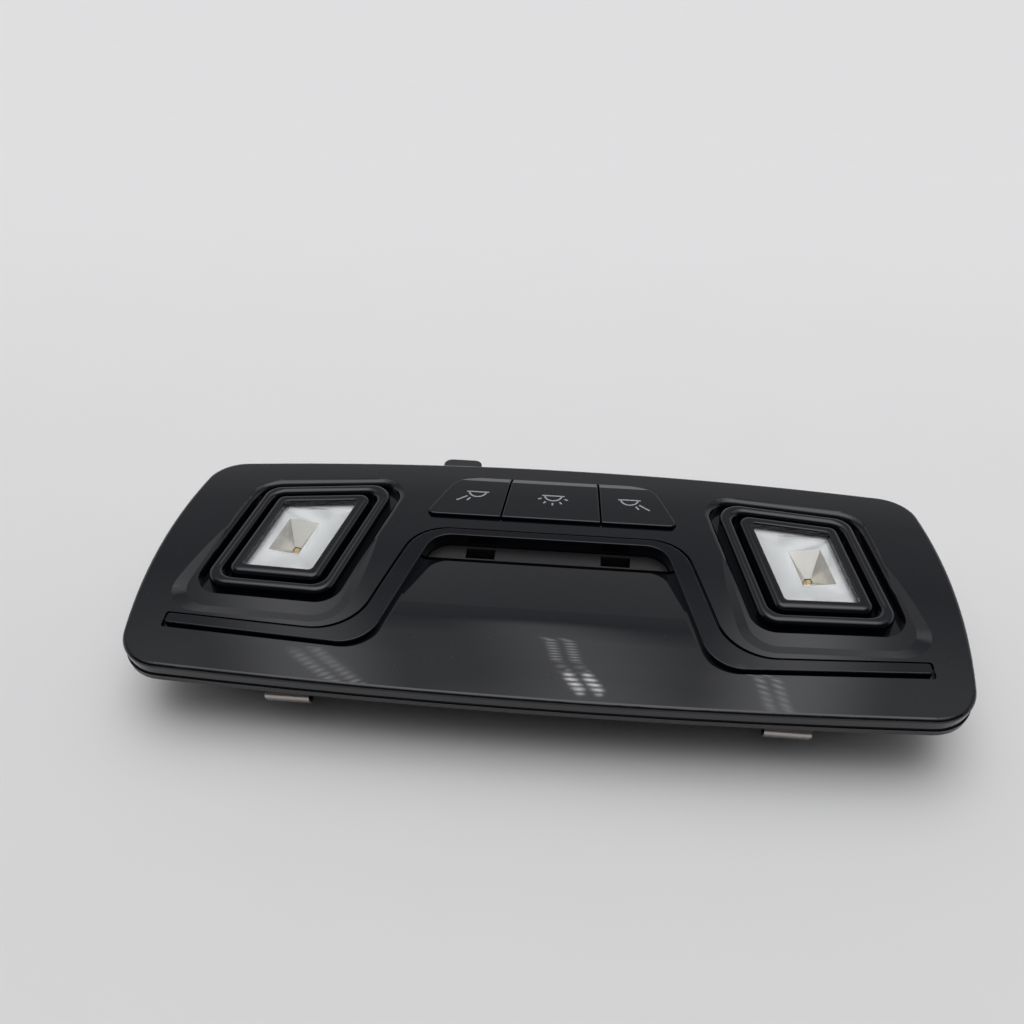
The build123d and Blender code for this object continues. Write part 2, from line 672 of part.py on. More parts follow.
def reflector():
    """Plate of the right lamp with its sunk cup, and a skirt that stands on the board."""
    low = BOARD_TOP - LAMP_Z - OVERLAP
    plate = lamp_prism(LENS_OVERLAP, low, PLATE_TOP)
    inside = lamp_prism(LENS_OVERLAP - REFLECTOR_WALL, low - OVERLAP, PLATE_TOP - REFLECTOR_WALL)
    body = (plate - inside) + cup(REFLECTOR_WALL) - cup(0)
    return body & prism(Rectangle(2 * FACE_LENGTH, 2 * FACE_DEPTH), BOARD_TOP, SKY)


def on_board(place, length, width, height):
    """Block that stands on the board."""
    return prism(Pos(*place) * Rectangle(length, width), BOARD_TOP, BOARD_TOP + height)


def lamp_place():
    """Point of the board under the cup of the right lamp."""
    foot = LAMP_PLANE.from_local_coords((CUP_OUTWARD, CUP_REARWARD, CUP_FOOT))
    return (foot.X, foot.Y)


def lamp_led():
    """Light source of the right lamp, in line with the foot of its cup."""
    plan = Pos(*lamp_place()) * Rot(0, 0, CUP_TURN) * Rectangle(LED_SIZE, LED_SIZE)
    return prism(plan, BOARD_TOP, BOARD_TOP + LED_HEIGHT)


def split_line(y):
    """Half distance between the two gaps that part the buttons, at a depth of the plan."""
    share = (y - POCKET_FRONT) / (POCKET_REAR - POCKET_FRONT)
    return SPLIT_FRONT + share * (SPLIT_REAR - SPLIT_FRONT)


def button_plan(index, grow):
    """Plan of one button (-1 left, 0 centre, 1 right): its share of the grown pocket."""
    front = POCKET_FRONT - POCKET_REAR
    rear = 2 * POCKET_REAR
    half_gap = BUTTON_SPLIT_GAP / 2
    if index == 0:
        near_front, near_rear = split_line(front) - half_gap, split_line(rear) - half_gap
        points = [(-near_front, front), (near_front, front), (near_rear, rear), (-near_rear, rear)]
    else:
        near_front, near_rear = split_line(front) + half_gap, split_line(rear) + half_gap
        far = 2 * POCKET_FRONT_HALF
        points = [(near_front, front), (far, front), (far, rear), (near_rear, rear)]
        points = [(index * x, y) for x, y in points]
    return offset(pocket_plan(), grow) & make_face(Polyline(*points, close=True))


def button_middle(index):
    """Point of the plan where a button presses its switch."""
    return (index * OUTER_BUTTON_MIDDLE, BUTTON_MIDDLE)


def rear_facet():
    """What is taken off the buttons along their rear edge."""
    start_y = POCKET_REAR - BUTTON_FACET
    start_z = crown_profile(start_y) + BUTTON_RISE
    edge_z = crown_profile(POCKET_REAR) + BUTTON_RISE - BUTTON_FACET_DROP
    fall = start_z - edge_z
    fore = (start_y - BUTTON_FACET, start_z + fall)
    aft = (POCKET_REAR + BUTTON_FACET, edge_z - fall)
    points = [fore, aft, (aft[0], SKY), (fore[0], SKY)]
    return drawn_along(make_face(Polyline(*[(0, y, z) for y, z in points], close=True)))


def button(index):
    """Hollow cap with a faceted rear edge, a lip that keeps it in the pocket, and a stem."""
    plan = button_plan(index, -SLIDE_FIT)
    cap = prism(plan, LIP_LOW, SKY) & crown(BUTTON_RISE)
    cap -= rear_facet()
    crease = POCKET_REAR - BUTTON_FACET
    high = cap.edges().filter_by(lambda edge: edge.center().Z > crown_profile(POCKET_REAR))
    cap = fillet(high.filter_by(lambda edge: abs(edge.center().Y - crease) > CLOSE_FIT), BUTTON_ROUND)
    cap += prism(button_plan(index, BUTTON_LIP), LIP_LOW, LIP_TOP)
    inside = prism(offset(plan, -BUTTON_WALL), LIP_LOW - OVERLAP, SKY)
    cap -= inside & crown(BUTTON_RISE - BUTTON_WALL)
    stem = prism(Pos(*button_middle(index)) * Circle(STEM_DIAMETER / 2), PLUNGER_TOP, SKY)
    return cap + (stem & crown(BUTTON_RISE - BUTTON_WALL / 2))


def switch(index):
    """Case of a tact switch, open on top for its plunger."""
    place = Pos(*button_middle(index))
    case = prism(place * RectangleRounded(SWITCH_SIZE, SWITCH_SIZE, SWITCH_BASE), BOARD_TOP, SWITCH_TOP)
    return case - prism(place * Circle(PLUNGER_DIAMETER / 2 + FIT), BOARD_TOP + SWITCH_BASE, SKY)


def switch_plunger(index):
    """Round plunger of a tact switch, under the stem of its button."""
    low = SWITCH_TOP - PLUNGER_DEPTH
    return prism(Pos(*button_middle(index)) * Circle(PLUNGER_DIAMETER / 2), low, PLUNGER_TOP)


def slot_front():
    """Front edge of the slot plate."""
    return PANEL_EDGE + SLOT_PLATE_FRONT_GAP


def slot_place(side):
    """Middle of a slot (-1 left, 1 right)."""
    return (side * SLOT_SPACING / 2, slot_front() + SLOT_FRONT_BAR + SLOT_WIDTH / 2)


def slot_plate():
    """Plate behind the open window, with a slot and a walled chamber under it on each side."""
    room = Pos(0, slot_front() + FACE_DEPTH / 2) * Rectangle(FACE_LENGTH, FACE_DEPTH)
    plate = prism(offset(bridge_plan(PANEL_EDGE, 0), -FIT) & room, WINDOW_LOW, SLOT_PLATE_TOP)
    for side in (-1, 1):
        place = Pos(*slot_place(side))
        chamber = Rectangle(SLOT_LENGTH + 2 * CHAMBER_WALL, SLOT_WIDTH + 2 * CHAMBER_WALL)
        plate += prism(place * chamber, BOARD_TOP, WINDOW_LOW)
        plate -= prism(place * Rectangle(SLOT_LENGTH, SLOT_WIDTH), 0, SKY)
    return plate


def light_guide(side):
    """Clear block in a chamber of the slot plate, over its own light source."""
    plan = Pos(*slot_place(side)) * Rectangle(SLOT_LENGTH - 2 * FIT, SLOT_WIDTH - 2 * FIT)
    low = BOARD_TOP + GUIDE_LED_HEIGHT + LED_GAP
    return prism(plan, low, SLOT_PLATE_TOP - GUIDE_DROP)


def guide_led(side):
    """Light source under a light guide."""
    return on_board(slot_place(side), GUIDE_LED_SIZE, GUIDE_LED_SIZE, GUIDE_LED_HEIGHT)


def circuit_board():
    """Board with holes for the rear screws and for the two pegs of the housing."""
    length = 2 * (LAMP_X + BOARD_END_REACH)
    middle = (BOARD_FRONT + BOARD_REAR) / 2
    plan = Pos(0, middle) * RectangleRounded(length, BOARD_REAR - BOARD_FRONT, BOARD_CORNER)
    board = prism(plan, BOARD_LOW, BOARD_TOP)
    for place, diameter in ((REAR_SCREW_PLACE, SCREW_DIAMETER), (PEG_PLACE, PEG_DIAMETER)):
        board -= both_sides(prism(Pos(*place) * Circle(diameter / 2 + FIT), 0, SKY))
    return board


def driver_chip():
    """Flat driver chip on the board."""
    return on_board(CHIP_PLACE, CHIP_LENGTH, CHIP_WIDTH, CHIP_HEIGHT)


def sign_leds():
    """Small light sources that light the button signs, one beside each switch."""
    leds = []
    for index in (-1, 0, 1):
        x, y = button_middle(index)
        leds.append(on_board((x, y - SWITCH_SIZE), SIGN_LED_SIZE, SIGN_LED_SIZE / 2, SIGN_LED_HEIGHT))
    return Compound(leds)


def pin_places():
    """Middles of the contact pins, in a row along the connector."""
    x, y = CONNECTOR_PLACE
    first = x - PIN_PITCH * (PIN_COUNT - 1) / 2
    return [(first + PIN_PITCH * step, y) for step in range(PIN_COUNT)]


def connector_header():
    """Socket on the back of the board that opens to the rear, with a keyway in one long wall."""
    place = Pos(*CONNECTOR_PLACE)
    header = prism(place * Rectangle(CONNECTOR_LENGTH, CONNECTOR_WIDTH), CONNECTOR_RECESS, BOARD_LOW)
    mouth_length = CONNECTOR_LENGTH - 2 * CONNECTOR_WALL
    mouth_width = CONNECTOR_WIDTH - 2 * CONNECTOR_WALL
    floor = BOARD_LOW - CONNECTOR_FLOOR
    header -= prism(place * Rectangle(mouth_length, mouth_width), 0, floor)
    keyway = place * Pos(0, CONNECTOR_WIDTH / 2) * Rectangle(KEYWAY_WIDTH, 2 * CONNECTOR_WALL)
    header -= prism(keyway, 0, CONNECTOR_RECESS + KEYWAY_DEPTH)
    for pin in pin_places():
        header -= prism(Pos(*pin) * Rectangle(PIN_SIZE + CLOSE_FIT, PIN_SIZE + CLOSE_FIT), 0, SKY)
    return header


def connector_pins():
    """Row of square contact pins."""
    low = CONNECTOR_RECESS + PIN_END_GAP
    section = Rectangle(PIN_SIZE, PIN_SIZE)
    return Compound([prism(Pos(*place) * section, low, BOARD_LOW) for place in pin_places()])


def housing_posts():
    """Posts of the right half: three for screws, and one with a peg for the board."""
    section = Circle(POST_DIAMETER / 2)
    posts = [prism(Pos(*place) * section, HOUSING_FLOOR / 2, BOARD_LOW) for place in SCREW_PLACES]
    peg = prism(Pos(*PEG_PLACE) * Circle(PEG_POST_DIAMETER / 2), HOUSING_FLOOR / 2, BOARD_LOW)
    peg += prism(Pos(*PEG_PLACE) * Circle(PEG_DIAMETER / 2), HOUSING_FLOOR / 2, BOARD_TOP + PEG_DIAMETER / 3)
    return posts + [peg]


def screw_hole(place):
    """Way of a screw through the housing, wide up to the seat of its head."""
    spot = Pos(*place)
    hole = prism(spot * Circle(SCREW_HEAD_DIAMETER / 2 + FIT), -OVERLAP, SCREW_SEAT)
    return hole + prism(spot * Circle(SCREW_DIAMETER / 2 + FIT), 0, SKY)


def floor_ribs():
    """Low stiffening ribs on the floor of the housing: two along it and two across."""
    along = Rectangle(HOUSING_LENGTH, FLOOR_RIB_WALL)
    across = Rectangle(FLOOR_RIB_WALL, HOUSING_DEPTH)
    ribs = [Pos(0, HOUSING_MIDDLE + side * FLOOR_RIB_PLACE) * along for side in (-1, 1)]
    ribs += [Pos(side * LAMP_X, HOUSING_MIDDLE) * across for side in (-1, 1)]
    room = housing_plan(-HOUSING_WALL / 2)
    return [prism(rib & room, HOUSING_FLOOR / 2, HOUSING_FLOOR + FLOOR_RIB_HEIGHT) for rib in ribs]


def tongue():
    """Locating tongue behind the rear wall, with two ribs under it."""
    root = HOUSING_REAR - HOUSING_WALL / 2
    tip = FACE_DEPTH / 2 + TONGUE_REACH
    top = RIM_Z - TONGUE_DROP
    half = TONGUE_WIDTH / 2
    points = [(-half, root), (half, root), (half, tip), (-half, tip)]
    plate = Pos(TONGUE_MIDDLE, 0) * outline(points, [0, 0, TONGUE_CORNER, TONGUE_CORNER])
    body = prism(plate, top - TONGUE_THICKNESS, top)
    for side in (-1, 1):
        x = TONGUE_MIDDLE + side * (half - TONGUE_RIB)
        low = top - TONGUE_THICKNESS - TONGUE_RIB_DEPTH
        corners = [(root, low), (root, top - TONGUE_RIB), (tip - TONGUE_CORNER, top - TONGUE_RIB)]
        web = make_face(Polyline(*[(x, y, z) for y, z in corners], close=True))
        body += extrude(web, TONGUE_RIB / 2, both=True)
    return body


def rear_housing():
    """Tray behind the face: posts, ribs, connector opening and the locating tongue."""
    tray = prism(housing_plan(), 0, HOUSING_TOP)
    tray = fillet(tray.faces().sort_by(Axis.Z)[0].edges(), HOUSING_BOTTOM_ROUND)
    tray += tongue()
    tray -= prism(housing_plan(-HOUSING_WALL), HOUSING_FLOOR, SKY)
    for rib in floor_ribs():
        tray += rib
    for post in housing_posts():
        tray += both_sides(post)
    for place in SCREW_PLACES:
        tray -= both_sides(screw_hole(place))
    opening = Rectangle(CONNECTOR_LENGTH + 2 * FIT, CONNECTOR_WIDTH + 2 * FIT)
    return tray - prism(Pos(*CONNECTOR_PLACE) * opening, -OVERLAP, HOUSING_FLOOR + FLOOR_RIB_HEIGHT)


def spring_clip():
    """Folded steel strip of the right side: two legs over the tower, the outer one bowed out."""
    leg = TOWER_THICKNESS / 2 + CLOSE_FIT + CLIP_STEEL / 2
    inner = CLIP_LINE + leg
    outer = CLIP_LINE - leg
    low = CLIP_LOW - CLIP_STEEL
    top = RIM_Z - CLIP_TOP_GAP
    path = FilletPolyline(
        (inner, top),
        (inner, low),
        (outer, low),
        (outer - CLIP_BULGE, low + CLIP_BULGE_HEIGHT),
        (outer, top),
        radius=[CLIP_FOLD, CLIP_FOLD, CLIP_BEND],
    )
    section = Plane.YZ * trace(path, CLIP_STEEL)
    return Pos(CLIP_X, 0, 0) * extrude(section, CLIP_WIDTH / 2, both=True)


def housing_screws():
    """Six like screws: round head with a cross recess, plain shank."""
    head = prism(Circle(SCREW_HEAD_DIAMETER / 2), SCREW_SEAT - SCREW_HEAD_HEIGHT, SCREW_SEAT)
    head = fillet(head.faces().sort_by(Axis.Z)[0].edges(), SCREW_HEAD_HEIGHT / 2)
    screw = head + prism(Circle(SCREW_DIAMETER / 2), SCREW_SEAT, SCREW_SEAT + SCREW_LENGTH)
    low = SCREW_SEAT - SCREW_HEAD_HEIGHT
    for turn in (0, 90):
        slot = Rot(0, 0, turn) * Rectangle(DRIVE_LENGTH, DRIVE_WIDTH)
        screw -= prism(slot, low - OVERLAP, low + DRIVE_DEPTH)
    places = SCREW_PLACES + [(-x, y) for x, y in SCREW_PLACES]
    return Compound([Pos(*place) * screw for place in places])


def left(solid):
    """Left-hand twin of a right-hand piece."""
    return mirror(solid, about=Plane.YZ)


def pieces():
    """Every piece by its name."""
    made = {
        "front_bezel": front_bezel(),
        "trim_strip": trim_strip(),
        "slot_plate": slot_plate(),
        "circuit_board": circuit_board(),
        "driver_chip": driver_chip(),
        "sign_leds": sign_leds(),
        "connector_header": connector_header(),
        "connector_pins": connector_pins(),
        "rear_housing": rear_housing(),
        "housing_screws": housing_screws(),
    }
    twins = {
        "lens_frame": lens_frame(),
        "lens": lens(),
        "reflector": reflector(),
        "lamp_led": lamp_led(),
        "spring_clip": spring_clip(),
    }
    for name, solid in twins.items():
        made[f"right_{name}"] = solid
        made[f"left_{name}"] = left(solid)
    for side, word in ((-1, "left"), (1, "right")):
        made[f"{word}_light_guide"] = light_guide(side)
        made[f"{word}_guide_led"] = guide_led(side)
    for index, word in ((-1, "left"), (0, "centre"), (1, "right")):
        made[f"{word}_button"] = button(index)
        made[f"{word}_switch"] = switch(index)
        made[f"{word}_switch_plunger"] = switch_plunger(index)
    return made


os.makedirs("parts", exist_ok=True)
for name, solid in pieces().items():
    export_step(solid, f"parts/{name}.step")
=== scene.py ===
"""Looks of a car dome light: finishes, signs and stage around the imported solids."""

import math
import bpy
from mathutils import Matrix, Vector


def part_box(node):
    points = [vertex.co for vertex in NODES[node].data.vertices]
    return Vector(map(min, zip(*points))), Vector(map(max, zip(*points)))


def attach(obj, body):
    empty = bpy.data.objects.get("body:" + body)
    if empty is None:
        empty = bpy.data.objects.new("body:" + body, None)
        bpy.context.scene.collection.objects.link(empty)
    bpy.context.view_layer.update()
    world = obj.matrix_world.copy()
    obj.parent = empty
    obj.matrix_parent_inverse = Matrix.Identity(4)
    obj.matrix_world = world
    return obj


bl_info = {
    "name": "Dome light looks",
    "version": (1, 0, 0),
    "blender": (4, 5, 0),
    "location": "3D View > Sidebar > Dome light",
    "description": "Dresses the solids of a car dome light with finishes, signs and a plain stage",
    "category": "Object",
}

import bpy
from bpy.props import FloatProperty, FloatVectorProperty, PointerProperty
from mathutils import Matrix, Vector

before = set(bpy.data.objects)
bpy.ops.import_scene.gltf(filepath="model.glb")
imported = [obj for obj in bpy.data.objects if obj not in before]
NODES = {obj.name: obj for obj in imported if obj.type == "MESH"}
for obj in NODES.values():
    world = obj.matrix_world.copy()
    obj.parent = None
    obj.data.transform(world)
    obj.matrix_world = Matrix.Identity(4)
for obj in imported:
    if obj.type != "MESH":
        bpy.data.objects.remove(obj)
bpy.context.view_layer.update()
MM = 0.001
SIDES = ("left", "right")
BUTTONS = ("left", "centre", "right")

# Rays of each sign in degrees round its dome, and the names of their lengths
CENTRE_RAYS = tuple((turn, "short_ray") for turn in (-156.0, -124.0, -90.0, -56.0, -24.0))
SIGN_RAYS = {
    "left": ((-141.0, "long_ray"), (-121.0, "stub_ray")),
    "centre": CENTRE_RAYS,
    "right": ((-39.0, "long_ray"), (-59.0, "stub_ray")),
}

# Grained mouldings: finish, colour setting, roughness, scale of the grain, and the nodes that have it
GRAINED = (
    ("housing_grain", "housing_black", 0.55, 1600.0, ("rear_housing",)),
    ("plate_satin", "plate_black", 0.38, 2200.0, ("slot_plate",)),
    ("connector_nylon", "connector_black", 0.5, 1600.0, ("connector_header",)),
    ("chip_package", "chip_black", 0.6, 1600.0, ("driver_chip",)),
    ("board_mask", "board_green", 0.35, 900.0, ("circuit_board",)),
    ("switch_case", "switch_black", 0.5, 1600.0, tuple(f"{word}_switch" for word in BUTTONS)),
    ("plunger_white", "plunger_white", 0.45, 1600.0, tuple(f"{word}_switch_plunger" for word in BUTTONS)),
)

# Bare metal: finish, colour setting, roughness, scale, stretch and contrast of its lines, and the nodes
BARE_METAL = (
    ("clip_spring_steel", "spring_steel", 0.3, 350.0, 30.0, 0.35, ("left_spring_clip", "right_spring_clip")),
    ("screw_zinc", "screw_zinc", 0.35, 600.0, 3.0, 0.3, ("housing_screws",)),
    ("pin_tinned_brass", "pin_brass", 0.25, 500.0, 8.0, 0.2, ("connector_pins",)),
)

# Clear mouldings: finish, colour setting, roughness, and the nodes
CLEAR = (
    ("clear_lens", "lens_clear", 0.015, tuple(f"{side}_lens" for side in SIDES)),
    ("smoked_guide", "guide_smoke", 0.12, tuple(f"{side}_light_guide" for side in SIDES)),
)

# Refraction of black plastic, of the softer shine of the inlay and of clear plastic
BLACK_REFRACTION = 1.5
INLAY_REFRACTION = 1.38
CLEAR_REFRACTION = 1.49

# Roughness and metal share of a reflector's plate and cup, and how far up the plate faces
PLATE_ROUGHNESS = 0.52
CUP_ROUGHNESS = 0.2
PLATE_METAL = 0.35
CUP_METAL = 1.0
PLATE_FACING = 0.97

# How far the roughness of bare metal strays along its lines, as a share
ROUGHNESS_SPREAD = 0.3

# Depth of the grain on mouldings and on the reflectors, in millimetres
MOULDING_GRAIN = 0.03
REFLECTOR_GRAIN = 0.006

# Soft columns of light in the surround: both ends by bearing from the rear and height, half width in
# degrees, and radiance
LIGHT_COLUMNS = (
    ((-24.0, 43.0), (-28.5, 62.0), 5.5, 0.85),
    ((16.8, 43.0), (22.0, 62.0), 5.5, 1.1),
    ((-4.0, 42.0), (2.0, 60.0), 7.0, 0.55),
)

# Rows of small level lights in the same columns: ends, half width and radiance as above, and the pitch of
# the lights in degrees
LIGHT_ROWS = (
    ((-27.6, 53.6), (-23.4, 57.0), 0.42, 2.6, 0.28),
    ((-26.0, 53.6), (-21.8, 57.0), 0.42, 2.6, 0.28),
    ((-3.6, 50.5), (-2.3, 56.6), 0.5, 3.2, 0.34),
    ((-2.0, 50.5), (-0.4, 56.6), 0.5, 3.2, 0.34),
    ((-1.78, 57.05), (-0.04, 58.19), 0.42, 13.0, 0.27),
    ((0.14, 57.05), (1.91, 58.12), 0.42, 13.0, 0.27),
    ((14.4, 53.6), (19.4, 57.4), 0.42, 2.6, 0.28),
    ((16.2, 53.6), (21.2, 57.4), 0.42, 2.6, 0.28),
)

# Where a column fades out and is full, as shares of half its length, and the same for a light in its wave
COLUMN_FADE = (1.3, 0.6)
LIGHT_FADE = (-0.2, 0.4)

# Brightness of the surround by height, as shares of its brightest level
SURROUND_TOP = 2.6
SURROUND = (
    (0.0, 0.21), (0.30, 0.22), (0.45, 0.19), (0.53, 0.135), (0.66, 0.12), (0.72, 0.17), (0.78, 0.24),
    (0.84, 0.27), (0.90, 0.62), (0.95, 1.0), (1.0, 1.0),
)

# Where the dimming on the viewer's side ends: by how far back and by how high a direction points
BEHIND = (-0.35, 0.1)
OVERHEAD = (0.62, 0.82)

# Where the painted shade that darkens the floor's colour in front fades out, from front to back, in metres
FLOOR_SHADE_FADE = (-0.15, 0.35)


def colour(name, words, value):
    """Colour property with its usual settings."""
    return FloatVectorProperty(
        name=name, description=words, subtype="COLOR", size=4, min=0.0, max=1.0, default=(*value, 1.0)
    )


def share(name, words, value):
    """Property for a value between nothing and all."""
    return FloatProperty(name=name, description=words, subtype="FACTOR", min=0.0, max=1.0, default=value)


def length(name, words, value):
    """Property for a length, given in millimetres."""
    return FloatProperty(name=name, description=words, unit="LENGTH", min=0.0, default=value * MM)


def angle(name, words, value):
    """Property for an angle, given in degrees."""
    return FloatProperty(name=name, description=words, unit="ROTATION", default=math.radians(value))


class DomeFinishes(bpy.types.PropertyGroup):
    """Colours and polish of the pieces."""

    gloss_black: colour("Gloss black", "Body colour of the polished mouldings", (0.0034, 0.0040, 0.0068))
    gloss_polish: share("Polish roughness", "Roughness of the polished mouldings", 0.02)
    inlay_black: colour("Inlay black", "Body colour of the trim strip", (0.0036, 0.0042, 0.0070))
    plate_black: colour("Plate black", "Colour of the plate with the slots", (0.012, 0.012, 0.013))
    housing_black: colour("Housing black", "Colour of the rear housing", (0.014, 0.014, 0.015))
    connector_black: colour("Connector black", "Colour of the connector header", (0.02, 0.02, 0.021))
    chip_black: colour("Chip black", "Colour of the driver chip", (0.012, 0.012, 0.013))
    switch_black: colour("Switch black", "Colour of the switch cases", (0.015, 0.015, 0.015))
    plunger_white: colour("Plunger white", "Colour of the switch plungers", (0.65, 0.65, 0.62))
    silver: colour("Silver", "Colour of the satin reflector plates", (0.93, 0.93, 0.925))
    cup_silver: colour("Cup silver", "Colour of the polished reflector cups", (0.80, 0.77, 0.715))
    phosphor: colour("Phosphor", "Colour of the light sources", (0.52, 0.37, 0.15))
    sign_grey: colour("Sign grey", "Colour of the lamp signs on the buttons", (0.42, 0.45, 0.47))
    spring_steel: colour("Spring steel", "Colour of the clips", (0.50, 0.46, 0.43))
    screw_zinc: colour("Screw zinc", "Colour of the housing screws", (0.55, 0.55, 0.56))
    pin_brass: colour("Pin brass", "Colour of the connector pins", (0.72, 0.62, 0.38))
    board_green: colour("Board green", "Colour of the circuit board", (0.012, 0.075, 0.035))
    lens_clear: colour("Clear lens", "Tint of the lenses", (0.97, 0.98, 0.98))
    guide_smoke: colour("Smoked guide", "Tint of the light guides", (0.06, 0.06, 0.065))
    dust_grey: colour("Dust grey", "Colour of dust on polished mouldings", (0.10, 0.10, 0.105))
    lens_dust: colour("Lens dust", "Colour of dust on clear mouldings", (0.80, 0.80, 0.80))
    lip_roughness: share("Lip roughness", "Roughness of the unpolished lip of the rim", 0.42)
    cap_polish: share("Cap roughness", "Roughness of the polished button caps", 0.03)


class DomeSigns(bpy.types.PropertyGroup):
    """Sizes of the lamp signs."""

    dome_radius: length("Dome radius", "Outer radius of the half dome", 2.7)
    bar_length: length("Bar length", "Length of the bar along the flat side", 6.6)
    stroke: length("Stroke", "Width of the lines", 0.5)
    relief: length("Relief", "How far a sign stands on its cap", 0.03)
    sink: length("Sink", "How deep a sign is let into its cap", 0.06)
    spread: length("Spread", "Distance of an outer sign from the middle", 22.2)
    bar_place: length("Bar place", "How far behind the middle of the face the bars lie", 29.7)
    ray_start: length("Ray start", "Distance of the rays from the dome's middle", 3.6)
    short_ray: length("Short ray", "Length of a ray of the centre sign", 1.2)
    stub_ray: length("Stub ray", "Length of the short ray of an outer sign", 1.7)
    long_ray: length("Long ray", "Length of the long ray of an outer sign", 3.9)


class DomeStage(bpy.types.PropertyGroup):
    """Camera, floor and light."""

    lens: FloatProperty(name="Lens", description="Focal length", unit="CAMERA", default=36.035)
    sensor: FloatProperty(name="Sensor", description="Width of the sensor", unit="CAMERA", default=36.0)
    nearest: length("Nearest", "Nearest distance that the camera shows", 10.0)
    camera_place: FloatVectorProperty(
        name="Camera place", description="Where the camera stands", subtype="XYZ", unit="LENGTH",
        default=(0.0118, -0.2058, 0.2116),
    )
    camera_turn: angle("Turn", "Turn of the camera about the upright", 5.82)
    camera_dip: angle("Dip", "How far the camera looks down", 39.24)
    camera_roll: angle("Roll", "Roll of the camera about its view", -0.37)
    floor_tone: colour("Floor", "Colour of the floor", (0.90, 0.895, 0.885))
    # Painted shade: share of the floor's colour that is kept in front, where the floor is darkened
    floor_falloff: share("Floor falloff", "How much of its tone the floor keeps in front", 0.89)
    front_dimming: share("Front dimming", "How much low light is left on the viewer's side", 0.08)
    floor_reach: length("Floor reach", "Half side of the floor", 3000.0)
    floor_roughness: share("Floor roughness", "Roughness of the floor", 0.9)
    floor_sheen: share("Floor sheen", "How much the floor shines", 0.1)
    surround_tint: FloatVectorProperty(
        name="Surround tint", description="Colour of the light", subtype="COLOR", size=4,
        default=(1.0, 1.006, 1.03, 1.0),
    )


def finishes():
    """Colour settings of the scene."""
    return bpy.context.scene.dome_finishes


def signs():
    """Sign settings of the scene."""
    return bpy.context.scene.dome_signs


def stage_settings():
    """Stage settings of the scene."""
    return bpy.context.scene.dome_stage


def add_node(tree, kind, place, **settings):
    """New node with some of its settings and inputs."""
    node = tree.nodes.new(kind)
    node.location = place
    for name, value in settings.items():
        if name.startswith("in_"):
            node.inputs[name[3:].replace("_", " ")].default_value = value
        else:
            setattr(node, name, value)
    return node


def new_group(name, inputs, outputs):
    """Shader node group with number inputs and outputs, and its two end nodes."""
    tree = bpy.data.node_groups.new(name, "ShaderNodeTree")
    for label, value in inputs.items():
        socket = tree.interface.new_socket(label, in_out="INPUT", socket_type="NodeSocketFloat")
        socket.default_value = value
    for label in outputs:
        tree.interface.new_socket(label, in_out="OUTPUT", socket_type="NodeSocketFloat")
    start = add_node(tree, "NodeGroupInput", (-800, 0))
    end = add_node(tree, "NodeGroupOutput", (600, 0))
    return tree, start, end


def dust_group():
    """Sparse fine specks, as settle on polished plastic."""
    tree, start, end = new_group("Fine dust", {"Scale": 900.0, "Cover": 0.1}, ["Specks"])
    where = add_node(tree, "ShaderNodeTexCoord", (-800, 200))
    cells = add_node(tree, "ShaderNodeTexVoronoi", (-600, 200), feature="F1", in_Randomness=1.0)
    drift = add_node(tree, "ShaderNodeTexNoise", (-600, -100), in_Scale=60.0, in_Detail=3.0)
    limit = add_node(tree, "ShaderNodeMath", (-350, -100), operation="MULTIPLY")
    near = add_node(tree, "ShaderNodeMath", (-150, 100), operation="LESS_THAN")
    tree.links.new(where.outputs["Object"], cells.inputs["Vector"])
    tree.links.new(where.outputs["Object"], drift.inputs["Vector"])
    tree.links.new(start.outputs["Scale"], cells.inputs["Scale"])
    tree.links.new(drift.outputs["Fac"], limit.inputs[0])
    tree.links.new(start.outputs["Cover"], limit.inputs[1])
    tree.links.new(cells.outputs["Distance"], near.inputs[0])
    tree.links.new(limit.outputs[0], near.inputs[1])
    tree.links.new(near.outputs[0], end.inputs["Specks"])
    return tree


def wipe_group():
    """Faint wipe marks and smears that change the polish a little."""
    tree, start, end = new_group("Wipe marks", {"Polish": 0.05, "Smear": 0.03}, ["Roughness"])
    where = add_node(tree, "ShaderNodeTexCoord", (-800, 200))
    turn = add_node(tree, "ShaderNodeMapping", (-620, 200))
    turn.inputs["Rotation"].default_value = (0.0, 0.0, 0.5)
    turn.inputs["Scale"].default_value = (1.0, 5.0, 1.0)
    smear = add_node(
        tree, "ShaderNodeTexNoise", (-420, 200), in_Scale=30.0, in_Detail=5.0, in_Roughness=0.6
    )
    spread = add_node(tree, "ShaderNodeMapRange", (-200, 200))
    spread.inputs["From Min"].default_value = 0.45
    spread.inputs["From Max"].default_value = 0.75
    amount = add_node(tree, "ShaderNodeMath", (0, 100), operation="MULTIPLY_ADD")
    tree.links.new(where.outputs["Object"], turn.inputs["Vector"])
    tree.links.new(turn.outputs["Vector"], smear.inputs["Vector"])
    tree.links.new(smear.outputs["Fac"], spread.inputs["Value"])
    tree.links.new(spread.outputs["Result"], amount.inputs[0])
    tree.links.new(start.outputs["Smear"], amount.inputs[1])
    tree.links.new(start.outputs["Polish"], amount.inputs[2])
    tree.links.new(amount.outputs[0], end.inputs["Roughness"])
    return tree


